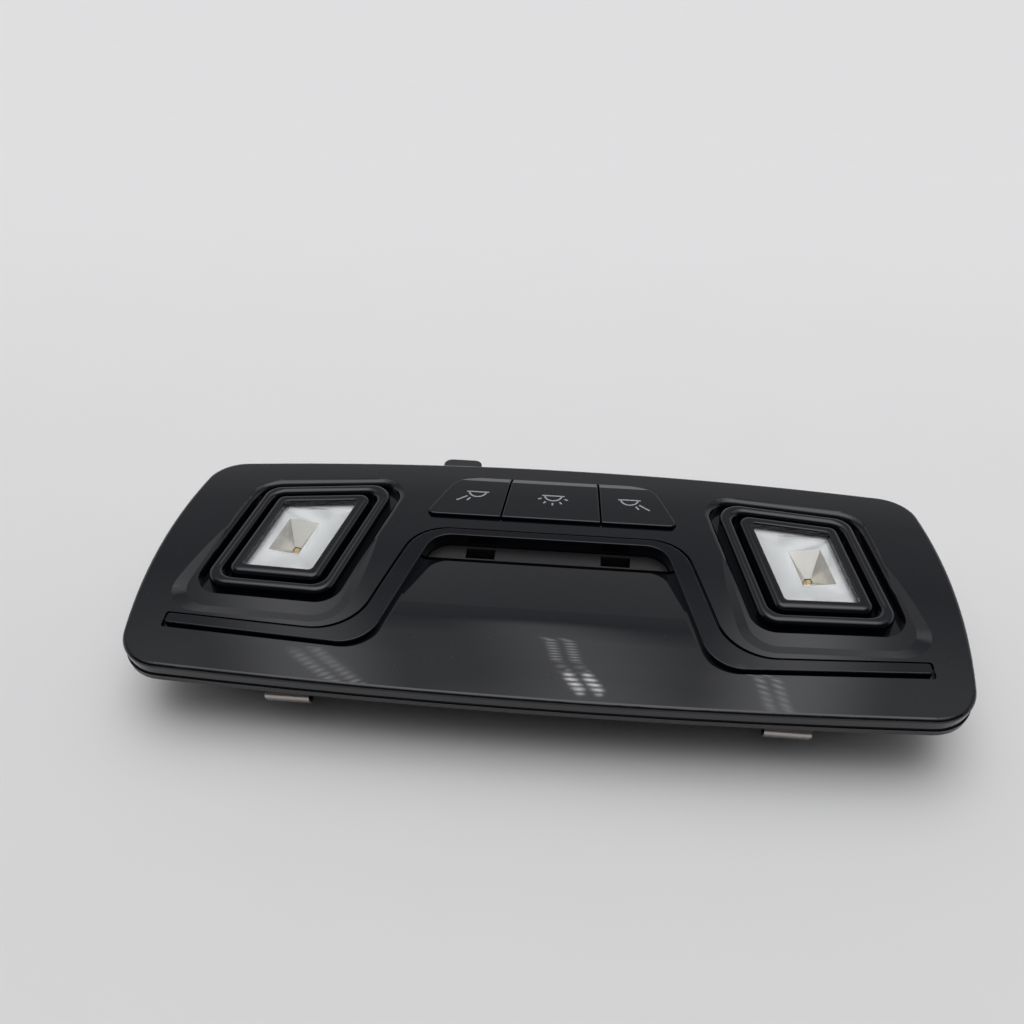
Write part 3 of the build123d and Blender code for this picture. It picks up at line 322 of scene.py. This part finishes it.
def grain_group():
    """Eroded grain of a moulding tool, with a slow change of tone."""
    tree, start, end = new_group("Moulding grain", {"Scale": 1600.0, "Tone": 0.25}, ["Height", "Shade"])
    where = add_node(tree, "ShaderNodeTexCoord", (-800, 200))
    fine = add_node(tree, "ShaderNodeTexNoise", (-500, 250), in_Detail=2.0, in_Roughness=0.6)
    slow = add_node(tree, "ShaderNodeTexNoise", (-500, -50), in_Scale=35.0, in_Detail=4.0)
    low = add_node(tree, "ShaderNodeMath", (-250, -150), operation="SUBTRACT")
    low.inputs[0].default_value = 1.0
    shade = add_node(tree, "ShaderNodeMapRange", (0, -50))
    shade.inputs["To Max"].default_value = 1.0
    tree.links.new(where.outputs["Object"], fine.inputs["Vector"])
    tree.links.new(where.outputs["Object"], slow.inputs["Vector"])
    tree.links.new(start.outputs["Scale"], fine.inputs["Scale"])
    tree.links.new(start.outputs["Tone"], low.inputs[1])
    tree.links.new(slow.outputs["Fac"], shade.inputs["Value"])
    tree.links.new(low.outputs[0], shade.inputs["To Min"])
    tree.links.new(fine.outputs["Fac"], end.inputs["Height"])
    tree.links.new(shade.outputs["Result"], end.inputs["Shade"])
    return tree


def brushing_group():
    """Fine parallel lines of rolled or brushed metal."""
    tree, start, end = new_group("Rolled lines", {"Scale": 500.0, "Stretch": 40.0}, ["Lines"])
    where = add_node(tree, "ShaderNodeTexCoord", (-800, 200))
    pull = add_node(tree, "ShaderNodeCombineXYZ", (-620, 0))
    pull.inputs["X"].default_value = 1.0
    squeeze = add_node(tree, "ShaderNodeVectorMath", (-420, 150), operation="MULTIPLY")
    lines = add_node(tree, "ShaderNodeTexNoise", (-200, 150), in_Detail=3.0)
    tree.links.new(start.outputs["Stretch"], pull.inputs["Y"])
    tree.links.new(start.outputs["Stretch"], pull.inputs["Z"])
    tree.links.new(where.outputs["Object"], squeeze.inputs[0])
    tree.links.new(pull.outputs["Vector"], squeeze.inputs[1])
    tree.links.new(squeeze.outputs["Vector"], lines.inputs["Vector"])
    tree.links.new(start.outputs["Scale"], lines.inputs["Scale"])
    tree.links.new(lines.outputs["Fac"], end.inputs["Lines"])
    return tree


def shared(build):
    """Node group of an effect, made at its first use."""
    made = bpy.data.node_groups.get(build.__name__)
    if made is None:
        made = build()
        made.name = build.__name__
    return made


def new_material(name):
    """Empty material with one principled shader."""
    material = bpy.data.materials.new(name)
    material.use_nodes = True
    tree = material.node_tree
    tree.nodes.clear()
    output = add_node(tree, "ShaderNodeOutputMaterial", (500, 0))
    surface = add_node(tree, "ShaderNodeBsdfPrincipled", (200, 0))
    tree.links.new(surface.outputs["BSDF"], output.inputs["Surface"])
    return material, tree, surface


def place_group(tree, build, place, **values):
    """Effect group in a material, with its own values."""
    node = add_node(tree, "ShaderNodeGroup", place)
    node.node_tree = shared(build)
    for name, value in values.items():
        node.inputs[name].default_value = value
    return node


def matt_below(tree, surface, height, roughness, body):
    """Turns a polished finish matt below a height, where a moulding isn't polished."""
    where = add_node(tree, "ShaderNodeTexCoord", (-900, -500))
    apart = add_node(tree, "ShaderNodeSeparateXYZ", (-700, -500))
    below = add_node(tree, "ShaderNodeMath", (-500, -500), operation="LESS_THAN")
    below.inputs[1].default_value = height
    tree.links.new(where.outputs["Object"], apart.inputs["Vector"])
    tree.links.new(apart.outputs["Z"], below.inputs[0])
    for socket, kind, value in (("Roughness", "FLOAT", roughness), ("Base Color", "RGBA", body)):
        mix = add_node(tree, "ShaderNodeMix", (0, -300), data_type=kind)
        low, high = [entry for entry in mix.inputs if entry.enabled and entry.name in ("A", "B")]
        tree.links.new(below.outputs[0], mix.inputs[0])
        tree.links.new(surface.inputs[socket].links[0].from_socket, low)
        high.default_value = value
        result = [entry for entry in mix.outputs if entry.enabled][0]
        tree.links.new(result, surface.inputs[socket])


def gloss_finish(name, body, polish, lip_top=0.0, refraction=BLACK_REFRACTION):
    """Polished black plastic with a little dust and faint wipe marks, matt below the top of a lip."""
    f = finishes()
    material, tree, surface = new_material(name)
    surface.inputs["IOR"].default_value = refraction
    dust = place_group(tree, dust_group, (-600, 200), Scale=520.0, Cover=0.075)
    wipe = place_group(tree, wipe_group, (-600, -100), Polish=polish, Smear=0.018)
    tint = add_node(tree, "ShaderNodeMix", (-250, 200), data_type="RGBA")
    tint.inputs["A"].default_value = body
    tint.inputs["B"].default_value = tuple(f.dust_grey)
    tree.links.new(dust.outputs["Specks"], tint.inputs["Factor"])
    tree.links.new(tint.outputs["Result"], surface.inputs["Base Color"])
    tree.links.new(wipe.outputs["Roughness"], surface.inputs["Roughness"])
    if lip_top:
        matt_below(tree, surface, lip_top, f.lip_roughness, tuple(f.housing_black))
    return material


def moulded_finish(name, body, roughness, scale):
    """Matt moulded plastic with a fine grain."""
    material, tree, surface = new_material(name)
    surface.inputs["Roughness"].default_value = roughness
    grain = place_group(tree, grain_group, (-600, 0), Scale=scale, Tone=0.35)
    tone = add_node(tree, "ShaderNodeMix", (-200, 200), data_type="RGBA", blend_type="MULTIPLY")
    tone.inputs["Factor"].default_value = 1.0
    tone.inputs["A"].default_value = body
    bump = add_node(tree, "ShaderNodeBump", (-200, -200))
    bump.inputs["Distance"].default_value = MOULDING_GRAIN * MM
    tree.links.new(grain.outputs["Shade"], tone.inputs["B"])
    tree.links.new(tone.outputs["Result"], surface.inputs["Base Color"])
    tree.links.new(grain.outputs["Height"], bump.inputs["Height"])
    tree.links.new(bump.outputs["Normal"], surface.inputs["Normal"])
    return material


def metal_finish(name, body, roughness, scale, stretch, contrast):
    """Metal with fine rolled lines in its tone and roughness."""
    material, tree, surface = new_material(name)
    surface.inputs["Metallic"].default_value = 1.0
    lines = place_group(tree, brushing_group, (-700, 0), Scale=scale, Stretch=stretch)
    tone = add_node(tree, "ShaderNodeMix", (-200, 200), data_type="RGBA")
    tone.inputs["A"].default_value = tuple(c * (1.0 - contrast) for c in body[:3]) + (1.0,)
    tone.inputs["B"].default_value = body
    rough = add_node(tree, "ShaderNodeMapRange", (-200, -100))
    rough.inputs["To Min"].default_value = roughness * (1.0 - ROUGHNESS_SPREAD)
    rough.inputs["To Max"].default_value = roughness * (1.0 + ROUGHNESS_SPREAD)
    tree.links.new(lines.outputs["Lines"], tone.inputs["Factor"])
    tree.links.new(tone.outputs["Result"], surface.inputs["Base Color"])
    tree.links.new(lines.outputs["Lines"], rough.inputs["Value"])
    tree.links.new(rough.outputs["Result"], surface.inputs["Roughness"])
    return material


def facet_mask(tree, place):
    """Mask that is set where a face leans, as the sides of a reflector's cup do."""
    facing = add_node(tree, "ShaderNodeNewGeometry", place)
    apart = add_node(tree, "ShaderNodeSeparateXYZ", (place[0] + 200, place[1]))
    lean = add_node(tree, "ShaderNodeMath", (place[0] + 400, place[1]), operation="LESS_THAN")
    lean.inputs[1].default_value = PLATE_FACING
    tree.links.new(facing.outputs["Normal"], apart.inputs["Vector"])
    tree.links.new(apart.outputs["Z"], lean.inputs[0])
    return lean.outputs[0]


def satin_silver():
    """Metallised plastic: a pale satin plate and a smoother, warmer cup."""
    f = finishes()
    material, tree, surface = new_material("satin_silver")
    grain = place_group(tree, grain_group, (-900, 0), Scale=2600.0, Tone=0.06)
    mask = facet_mask(tree, (-900, -400))
    metal = add_node(tree, "ShaderNodeMix", (-400, 400), data_type="RGBA")
    metal.inputs["A"].default_value = tuple(f.silver)
    metal.inputs["B"].default_value = tuple(f.cup_silver)
    tone = add_node(tree, "ShaderNodeMix", (-200, 200), data_type="RGBA", blend_type="MULTIPLY")
    tone.inputs["Factor"].default_value = 1.0
    rough = add_node(tree, "ShaderNodeMapRange", (-200, -100))
    rough.inputs["To Min"].default_value = PLATE_ROUGHNESS
    rough.inputs["To Max"].default_value = CUP_ROUGHNESS
    shine = add_node(tree, "ShaderNodeMapRange", (-200, -400))
    shine.inputs["To Min"].default_value = PLATE_METAL
    shine.inputs["To Max"].default_value = CUP_METAL
    bump = add_node(tree, "ShaderNodeBump", (-200, -700))
    bump.inputs["Distance"].default_value = REFLECTOR_GRAIN * MM
    tree.links.new(mask, metal.inputs["Factor"])
    tree.links.new(metal.outputs["Result"], tone.inputs["A"])
    tree.links.new(grain.outputs["Shade"], tone.inputs["B"])
    tree.links.new(tone.outputs["Result"], surface.inputs["Base Color"])
    tree.links.new(mask, rough.inputs["Value"])
    tree.links.new(rough.outputs["Result"], surface.inputs["Roughness"])
    tree.links.new(mask, shine.inputs["Value"])
    tree.links.new(shine.outputs["Result"], surface.inputs["Metallic"])
    tree.links.new(grain.outputs["Height"], bump.inputs["Height"])
    tree.links.new(bump.outputs["Normal"], surface.inputs["Normal"])
    return material


def clear_finish(name, tint, roughness):
    """Clear moulded plastic with faint dust, which lets light through to what lies behind it."""
    material, tree, surface = new_material(name)
    surface.inputs["Transmission Weight"].default_value = 1.0
    surface.inputs["IOR"].default_value = CLEAR_REFRACTION
    dust = place_group(tree, dust_group, (-600, 200), Scale=700.0, Cover=0.02)
    wipe = place_group(tree, wipe_group, (-600, -100), Polish=roughness, Smear=0.008)
    mix = add_node(tree, "ShaderNodeMix", (-250, 200), data_type="RGBA")
    mix.inputs["A"].default_value = tint
    mix.inputs["B"].default_value = tuple(finishes().lens_dust)
    tree.links.new(dust.outputs["Specks"], mix.inputs["Factor"])
    tree.links.new(mix.outputs["Result"], surface.inputs["Base Color"])
    tree.links.new(wipe.outputs["Roughness"], surface.inputs["Roughness"])
    path = add_node(tree, "ShaderNodeLightPath", (0, 400))
    through = add_node(tree, "ShaderNodeBsdfTransparent", (200, 200))
    through.inputs["Color"].default_value = tint
    choice = add_node(tree, "ShaderNodeMixShader", (400, 200))
    tree.links.new(path.outputs["Is Shadow Ray"], choice.inputs["Fac"])
    tree.links.new(surface.outputs["BSDF"], choice.inputs[1])
    tree.links.new(through.outputs["BSDF"], choice.inputs[2])
    tree.links.new(choice.outputs["Shader"], tree.nodes["Material Output"].inputs["Surface"])
    return material


def dress(names, material):
    """Puts one finish on CAD nodes."""
    for name in names:
        mesh = NODES[name].data
        mesh.materials.clear()
        mesh.materials.append(material)


def deselect():
    """Leaves nothing selected, in object mode."""
    if bpy.context.object and bpy.context.object.mode != "OBJECT":
        bpy.ops.object.mode_set(mode="OBJECT")
    bpy.ops.object.select_all(action="DESELECT")


def join(parts):
    """One object of several."""
    deselect()
    for part in parts:
        part.select_set(True)
    bpy.context.view_layer.objects.active = parts[0]
    bpy.ops.object.join()
    return bpy.context.object


def apply_place(piece):
    """Moves a piece's place, turn and scale into its mesh."""
    deselect()
    piece.select_set(True)
    bpy.context.view_layer.objects.active = piece
    bpy.ops.object.transform_apply(location=True, rotation=True, scale=True)


def settle(piece, name, body, material):
    """Names a new piece, gives it its finish and sets it on its body."""
    piece.name = name
    piece.data.name = name
    piece.data.materials.clear()
    piece.data.materials.append(material)
    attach(piece, body)
    return piece


class DOME_OT_gloss_mouldings(bpy.types.Operator):
    """Gloss black on the bezel, lens frames and button caps"""

    bl_idname = "dome.gloss_mouldings"
    bl_label = "Gloss mouldings"

    # From the foot of the clip towers up to the top of the unpolished lip of the rim
    LIP_OVER_CLIPS = 6.8

    def execute(self, context):
        f = finishes()
        lip_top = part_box("front_bezel")[0][2] + self.LIP_OVER_CLIPS * MM
        bezel = gloss_finish("bezel_gloss_black", tuple(f.gloss_black), f.gloss_polish, lip_top)
        dress(["front_bezel"], bezel)
        frames = [f"{side}_lens_frame" for side in SIDES]
        dress(frames, gloss_finish("frame_gloss_black", tuple(f.gloss_black), f.gloss_polish))
        caps = [f"{word}_button" for word in BUTTONS]
        dress(caps, gloss_finish("button_gloss_black", tuple(f.gloss_black), f.cap_polish))
        return {"FINISHED"}


class DOME_OT_trim_strip(bpy.types.Operator):
    """Gloss black on the inlaid trim strip"""

    bl_idname = "dome.trim_strip"
    bl_label = "Trim strip"

    def execute(self, context):
        f = finishes()
        inlay = gloss_finish(
            "inlay_gloss_black", tuple(f.inlay_black), f.gloss_polish, refraction=INLAY_REFRACTION
        )
        dress(["trim_strip"], inlay)
        return {"FINISHED"}


class DOME_OT_clear_pieces(bpy.types.Operator):
    """Clear lenses and smoked light guides"""

    bl_idname = "dome.clear_pieces"
    bl_label = "Lenses and light guides"

    def execute(self, context):
        for finish, setting, roughness, nodes in CLEAR:
            dress(nodes, clear_finish(finish, tuple(getattr(finishes(), setting)), roughness))
        return {"FINISHED"}


class DOME_OT_reflectors(bpy.types.Operator):
    """Satin silver reflectors with smoother cups"""

    bl_idname = "dome.reflectors"
    bl_label = "Reflectors"

    def execute(self, context):
        dress([f"{side}_reflector" for side in SIDES], satin_silver())
        return {"FINISHED"}


class DOME_OT_light_sources(bpy.types.Operator):
    """Yellow light sources of the lamps, slots and signs"""

    bl_idname = "dome.light_sources"
    bl_label = "Light sources"

    ROUGHNESS = 0.45
    GRAIN_SCALE = 3000.0

    def execute(self, context):
        body = tuple(finishes().phosphor)
        sources = [f"{side}_{kind}" for side in SIDES for kind in ("lamp_led", "guide_led")]
        phosphor = moulded_finish("yellow_phosphor", body, self.ROUGHNESS, self.GRAIN_SCALE)
        dress([*sources, "sign_leds"], phosphor)
        return {"FINISHED"}


class DOME_OT_button_signs(bpy.types.Operator):
    """Lamp signs let into the three button caps"""

    bl_idname = "dome.button_signs"
    bl_label = "Button signs"

    ROUGHNESS = 0.4
    GRAIN_SCALE = 2600.0
    DOME_SIDES = 72
    END_ROUND = 0.4
    END_SIDES = 4

    def execute(self, context):
        s = signs()
        ink = moulded_finish("sign_grey", tuple(finishes().sign_grey), self.ROUGHNESS, self.GRAIN_SCALE)
        places = {"left": -s.spread, "centre": 0.0, "right": s.spread}
        for word in BUTTONS:
            parts = [self.half_dome(s), self.line(s, s.bar_length, (0.0, 0.0), 0.0)]
            for turn, kind in SIGN_RAYS[word]:
                parts.append(self.ray(s, math.radians(turn), getattr(s, kind)))
            sign = self.thicken(join(parts), s.relief + s.sink)
            self.lay_on_cap(sign, NODES[f"{word}_button"], places[word], s.bar_place, s.sink)
            settle(sign, f"{word}_sign", f"{word}_button_body", ink)
        return {"FINISHED"}

    def half_dome(self, s):
        """Half ring that hangs under the bar."""
        deselect()
        sides = self.DOME_SIDES
        bpy.ops.mesh.primitive_circle_add(vertices=sides, radius=s.dome_radius, fill_type="NGON")
        bpy.ops.object.mode_set(mode="EDIT")
        bpy.ops.mesh.inset(thickness=s.stroke)
        bpy.ops.mesh.delete(type="FACE")
        bpy.ops.mesh.select_all(action="SELECT")
        bpy.ops.mesh.bisect(plane_co=(0.0, 0.0, 0.0), plane_no=(0.0, 1.0, 0.0), clear_outer=True)
        bpy.ops.object.mode_set(mode="OBJECT")
        return bpy.context.object

    def line(self, s, reach, middle, turn):
        """Straight line of a sign with rounded ends."""
        deselect()
        bpy.ops.mesh.primitive_plane_add(size=1.0)
        line = bpy.context.object
        line.scale = (reach, s.stroke, 1.0)
        apply_place(line)
        bpy.ops.object.mode_set(mode="EDIT")
        bpy.ops.mesh.select_all(action="SELECT")
        round_ends = s.stroke * self.END_ROUND
        bpy.ops.mesh.bevel(affect="VERTICES", offset=round_ends, segments=self.END_SIDES)
        bpy.ops.object.mode_set(mode="OBJECT")
        line.location = (*middle, 0.0)
        line.rotation_euler = (0.0, 0.0, turn)
        apply_place(line)
        return line

    def ray(self, s, turn, reach):
        """Line that points away from the middle of the dome."""
        far = s.ray_start + reach / 2
        return self.line(s, reach, (far * math.cos(turn), far * math.sin(turn)), turn)

    def thicken(self, sign, thickness):
        """Gives a flat sign its thickness, upwards."""
        deselect()
        sign.select_set(True)
        bpy.context.view_layer.objects.active = sign
        wall = sign.modifiers.new("thickness", "SOLIDIFY")
        wall.thickness = thickness
        wall.offset = 1.0
        bpy.ops.object.modifier_apply(modifier=wall.name)
        return sign

    def lay_on_cap(self, sign, cap, x, y, sink):
        """Sets a sign on the crowned top of its cap."""
        above = cap.bound_box[1][2] + sign.dimensions.x
        hit, place, facing, _ = cap.ray_cast((x, y, above), (0.0, 0.0, -1.0))
        if not hit:
            raise RuntimeError(f"no cap under the sign at {x:.4f}, {y:.4f}")
        lean = Vector((0.0, 0.0, 1.0)).rotation_difference(facing).to_matrix().to_4x4()
        sign.matrix_world = Matrix.Translation(place - sink * facing) @ lean
        apply_place(sign)


class DOME_OT_grained_mouldings(bpy.types.Operator):
    """Grained plastic of the housing, slot plate, connector, switches, chip and board"""

    bl_idname = "dome.grained_mouldings"
    bl_label = "Housing and inner mouldings"

    def execute(self, context):
        for finish, setting, roughness, scale, nodes in GRAINED:
            dress(nodes, moulded_finish(finish, tuple(getattr(finishes(), setting)), roughness, scale))
        return {"FINISHED"}


class DOME_OT_bare_metal(bpy.types.Operator):
    """Bare metal of the clips, screws and connector pins"""

    bl_idname = "dome.bare_metal"
    bl_label = "Clips, screws and pins"

    def execute(self, context):
        for finish, setting, roughness, scale, stretch, contrast, nodes in BARE_METAL:
            body = tuple(getattr(finishes(), setting))
            dress(nodes, metal_finish(finish, body, roughness, scale, stretch, contrast))
        return {"FINISHED"}


class DOME_OT_stage(bpy.types.Operator):
    """Floor, soft light, world and camera"""

    bl_idname = "dome.stage"
    bl_label = "Stage"

    def execute(self, context):
        s = stage_settings()
        self.lay_floor(s)
        self.light_world(context, s)
        self.set_camera(context, s)
        context.scene.view_settings.view_transform = "Standard"
        return {"FINISHED"}

    def lay_floor(self, s):
        """Plain pale floor under the lamp, with painted shade that makes its colour a little darker in
        front.
        """
        deselect()
        bpy.ops.mesh.primitive_plane_add(size=2 * s.floor_reach, location=(0.0, 0.0, 0.0))
        floor = bpy.context.object
        floor.name = "stage_floor"
        material, tree, surface = new_material("floor_paper")
        surface.inputs["Roughness"].default_value = s.floor_roughness
        surface.inputs["Specular IOR Level"].default_value = s.floor_sheen
        grain = place_group(tree, grain_group, (-600, 0), Scale=300.0, Tone=0.02)
        tone = add_node(tree, "ShaderNodeMix", (-200, 200), data_type="RGBA", blend_type="MULTIPLY")
        tone.inputs["Factor"].default_value = 1.0
        tone.inputs["A"].default_value = tuple(s.floor_tone)
        where = add_node(tree, "ShaderNodeTexCoord", (-900, 400))
        apart = add_node(tree, "ShaderNodeSeparateXYZ", (-700, 400))
        # Painted shade: the floor's colour is darkened towards the front
        front_shade = self.limits(tree, apart.outputs["Y"], *FLOOR_SHADE_FADE)
        front_shade.inputs["To Min"].default_value = s.floor_falloff
        shade = add_node(tree, "ShaderNodeMath", (-350, 200), operation="MULTIPLY")
        tree.links.new(where.outputs["Object"], apart.inputs["Vector"])
        tree.links.new(front_shade.outputs["Result"], shade.inputs[0])
        tree.links.new(grain.outputs["Shade"], shade.inputs[1])
        tree.links.new(shade.outputs[0], tone.inputs["B"])
        tree.links.new(tone.outputs["Result"], surface.inputs["Base Color"])
        floor.data.materials.append(material)

    def light_world(self, context, s):
        """Soft surround: pale low down, dimmer half way up, bright overhead, dim on the viewer's side."""
        world = context.scene.world or bpy.data.worlds.new("surround")
        context.scene.world = world
        world.use_nodes = True
        tree = world.node_tree
        tree.nodes.clear()
        output = add_node(tree, "ShaderNodeOutputWorld", (1200, 0))
        glow = add_node(tree, "ShaderNodeBackground", (1000, 0))
        glow.inputs["Color"].default_value = tuple(s.surround_tint)
        where = add_node(tree, "ShaderNodeTexCoord", (-600, 0)).outputs["Generated"]
        level = self.plain_surround(tree, where, s)
        for first, last, half_width, radiance in LIGHT_COLUMNS:
            level = self.add_up(tree, level, self.column(tree, where, first, last, half_width), radiance)
        for first, last, half_width, radiance, pitch in LIGHT_ROWS:
            row = self.column(tree, where, first, last, half_width, pitch)
            level = self.add_up(tree, level, row, radiance)
        tree.links.new(level, glow.inputs["Strength"])
        tree.links.new(glow.outputs["Background"], output.inputs["Surface"])

    def plain_surround(self, tree, where, s):
        """Brightness of the surround by height, dimmed low down on the viewer's side."""
        apart = add_node(tree, "ShaderNodeSeparateXYZ", (-400, 0))
        ramp = add_node(tree, "ShaderNodeValToRGB", (-200, 0))
        steps = ramp.color_ramp.elements
        steps[0].position, steps[1].position = SURROUND[0][0], SURROUND[-1][0]
        for place, _ in SURROUND[1:-1]:
            steps.new(place)
        for step, (_, level) in zip(steps, SURROUND):
            step.color = (level, level, level, 1.0)
        behind = self.limits(tree, apart.outputs["Y"], *BEHIND)
        behind.inputs["To Min"].default_value = s.front_dimming
        overhead = self.limits(tree, apart.outputs["Z"], *OVERHEAD)
        most = add_node(tree, "ShaderNodeMath", (200, -300), operation="MAXIMUM")
        dimmed = add_node(tree, "ShaderNodeMath", (400, -100), operation="MULTIPLY")
        scaled = add_node(tree, "ShaderNodeMath", (600, -100), operation="MULTIPLY")
        scaled.inputs[1].default_value = SURROUND_TOP
        tree.links.new(where, apart.inputs["Vector"])
        tree.links.new(apart.outputs["Z"], ramp.inputs["Fac"])
        tree.links.new(behind.outputs["Result"], most.inputs[0])
        tree.links.new(overhead.outputs["Result"], most.inputs[1])
        tree.links.new(ramp.outputs["Color"], dimmed.inputs[0])
        tree.links.new(most.outputs[0], dimmed.inputs[1])
        tree.links.new(dimmed.outputs[0], scaled.inputs[0])
        return scaled.outputs[0]

    def limits(self, tree, value, low, high):
        """Smooth step of a value between two limits."""
        step = add_node(tree, "ShaderNodeMapRange", (0, -300), interpolation_type="SMOOTHSTEP")
        step.inputs["From Min"].default_value = low
        step.inputs["From Max"].default_value = high
        tree.links.new(value, step.inputs["Value"])
        return step

    def direction(self, bearing, height):
        """Direction towards a bearing from the rear and a height, in degrees."""
        bearing, height = math.radians(bearing), math.radians(height)
        level = math.cos(height)
        return Vector((math.sin(bearing) * level, math.cos(bearing) * level, math.sin(height)))

    def fade(self, tree, where, towards, low, high):
        """Mask that rises as the view turns towards a direction."""
        return self.limits(tree, self.share_of(tree, where, towards), low, high).outputs["Result"]

    def column(self, tree, where, first, last, half_width, pitch=0.0):
        """Mask of a narrow column between two directions, whole or broken into level lights."""
        ends = self.direction(*first), self.direction(*last)
        reach = ends[0].angle(ends[1]) / 2
        middle = (ends[0] + ends[1]).normalized()
        aside = ends[0].cross(ends[1]).normalized()
        along = self.fade(tree, where, middle, *(math.cos(reach * part) for part in COLUMN_FADE))
        off = add_node(tree, "ShaderNodeMath", (0, -900), operation="ABSOLUTE")
        narrow = self.limits(tree, off.outputs[0], math.sin(math.radians(half_width)), 0.0)
        mask = add_node(tree, "ShaderNodeMath", (400, -700), operation="MULTIPLY")
        tree.links.new(self.share_of(tree, where, aside), off.inputs[0])
        tree.links.new(along, mask.inputs[0])
        tree.links.new(narrow.outputs["Result"], mask.inputs[1])
        if not pitch:
            return mask.outputs[0]
        turns = add_node(tree, "ShaderNodeMath", (0, -1200), operation="MULTIPLY")
        turns.inputs[1].default_value = 2 * math.pi / math.radians(pitch)
        wave = add_node(tree, "ShaderNodeMath", (200, -1200), operation="SINE")
        lights = self.limits(tree, wave.outputs[0], *LIGHT_FADE)
        dashes = add_node(tree, "ShaderNodeMath", (600, -700), operation="MULTIPLY")
        sideways = Vector((middle.y, -middle.x, 0.0)).normalized()
        tree.links.new(self.share_of(tree, where, sideways.cross(middle)), turns.inputs[0])
        tree.links.new(turns.outputs[0], wave.inputs[0])
        tree.links.new(mask.outputs[0], dashes.inputs[0])
        tree.links.new(lights.outputs["Result"], dashes.inputs[1])
        return dashes.outputs[0]

    def share_of(self, tree, where, towards):
        """How far the view points along a direction."""
        turned = add_node(tree, "ShaderNodeVectorMath", (-200, -600), operation="DOT_PRODUCT")
        turned.inputs[1].default_value = towards
        tree.links.new(where, turned.inputs[0])
        return turned.outputs["Value"]

    def add_up(self, tree, level, mask, radiance):
        """Adds a masked light to the brightness so far."""
        total = add_node(tree, "ShaderNodeMath", (800, -300), operation="MULTIPLY_ADD")
        total.inputs[1].default_value = radiance
        tree.links.new(mask, total.inputs[0])
        tree.links.new(level, total.inputs[2])
        return total.outputs[0]

    def set_camera(self, context, s):
        """Camera where the photograph was taken from."""
        deselect()
        turn = Matrix.Rotation(s.camera_turn, 4, "Z")
        dip = Matrix.Rotation(math.pi / 2 - s.camera_dip, 4, "X")
        roll = Matrix.Rotation(s.camera_roll, 4, "Z")
        facing = (turn @ dip @ roll).to_euler()
        bpy.ops.object.camera_add(location=s.camera_place, rotation=facing)
        camera = bpy.context.object
        camera.name = "view_camera"
        camera.data.sensor_width = s.sensor
        camera.data.lens = s.lens
        camera.data.clip_start = s.nearest
        camera.data.dof.use_dof = False
        context.scene.camera = camera


class DOME_PT_panel(bpy.types.Panel):
    """Lists the settings and the steps that dress the lamp"""

    bl_idname = "DOME_PT_panel"
    bl_label = "Dome light"
    bl_space_type = "VIEW_3D"
    bl_region_type = "UI"
    bl_category = "Dome light"

    def draw(self, context):
        for group in (finishes(), signs(), stage_settings()):
            box = self.layout.box()
            for name in group.__annotations__:
                box.prop(group, name)
        for step in STEPS:
            self.layout.operator(step.bl_idname)


GROUPS = {"dome_finishes": DomeFinishes, "dome_signs": DomeSigns, "dome_stage": DomeStage}
STEPS = (
    DOME_OT_gloss_mouldings,
    DOME_OT_trim_strip,
    DOME_OT_clear_pieces,
    DOME_OT_reflectors,
    DOME_OT_light_sources,
    DOME_OT_button_signs,
    DOME_OT_grained_mouldings,
    DOME_OT_bare_metal,
    DOME_OT_stage,
)
CLASSES = (*GROUPS.values(), *STEPS, DOME_PT_panel)


def register():
    """Registers the classes and hangs the settings on the scene."""
    for entry in CLASSES:
        bpy.utils.register_class(entry)
    for name, group in GROUPS.items():
        setattr(bpy.types.Scene, name, PointerProperty(type=group))


def unregister():
    """Takes the settings and the classes away again."""
    for name in GROUPS:
        delattr(bpy.types.Scene, name)
    for entry in reversed(CLASSES):
        bpy.utils.unregister_class(entry)


def main():
    """Runs every step in order."""
    register()
    bpy.ops.dome.gloss_mouldings()
    bpy.ops.dome.trim_strip()
    bpy.ops.dome.clear_pieces()
    bpy.ops.dome.reflectors()
    bpy.ops.dome.light_sources()
    bpy.ops.dome.button_signs()
    bpy.ops.dome.grained_mouldings()
    bpy.ops.dome.bare_metal()
    bpy.ops.dome.stage()


if __name__ == "__main__":
    main()
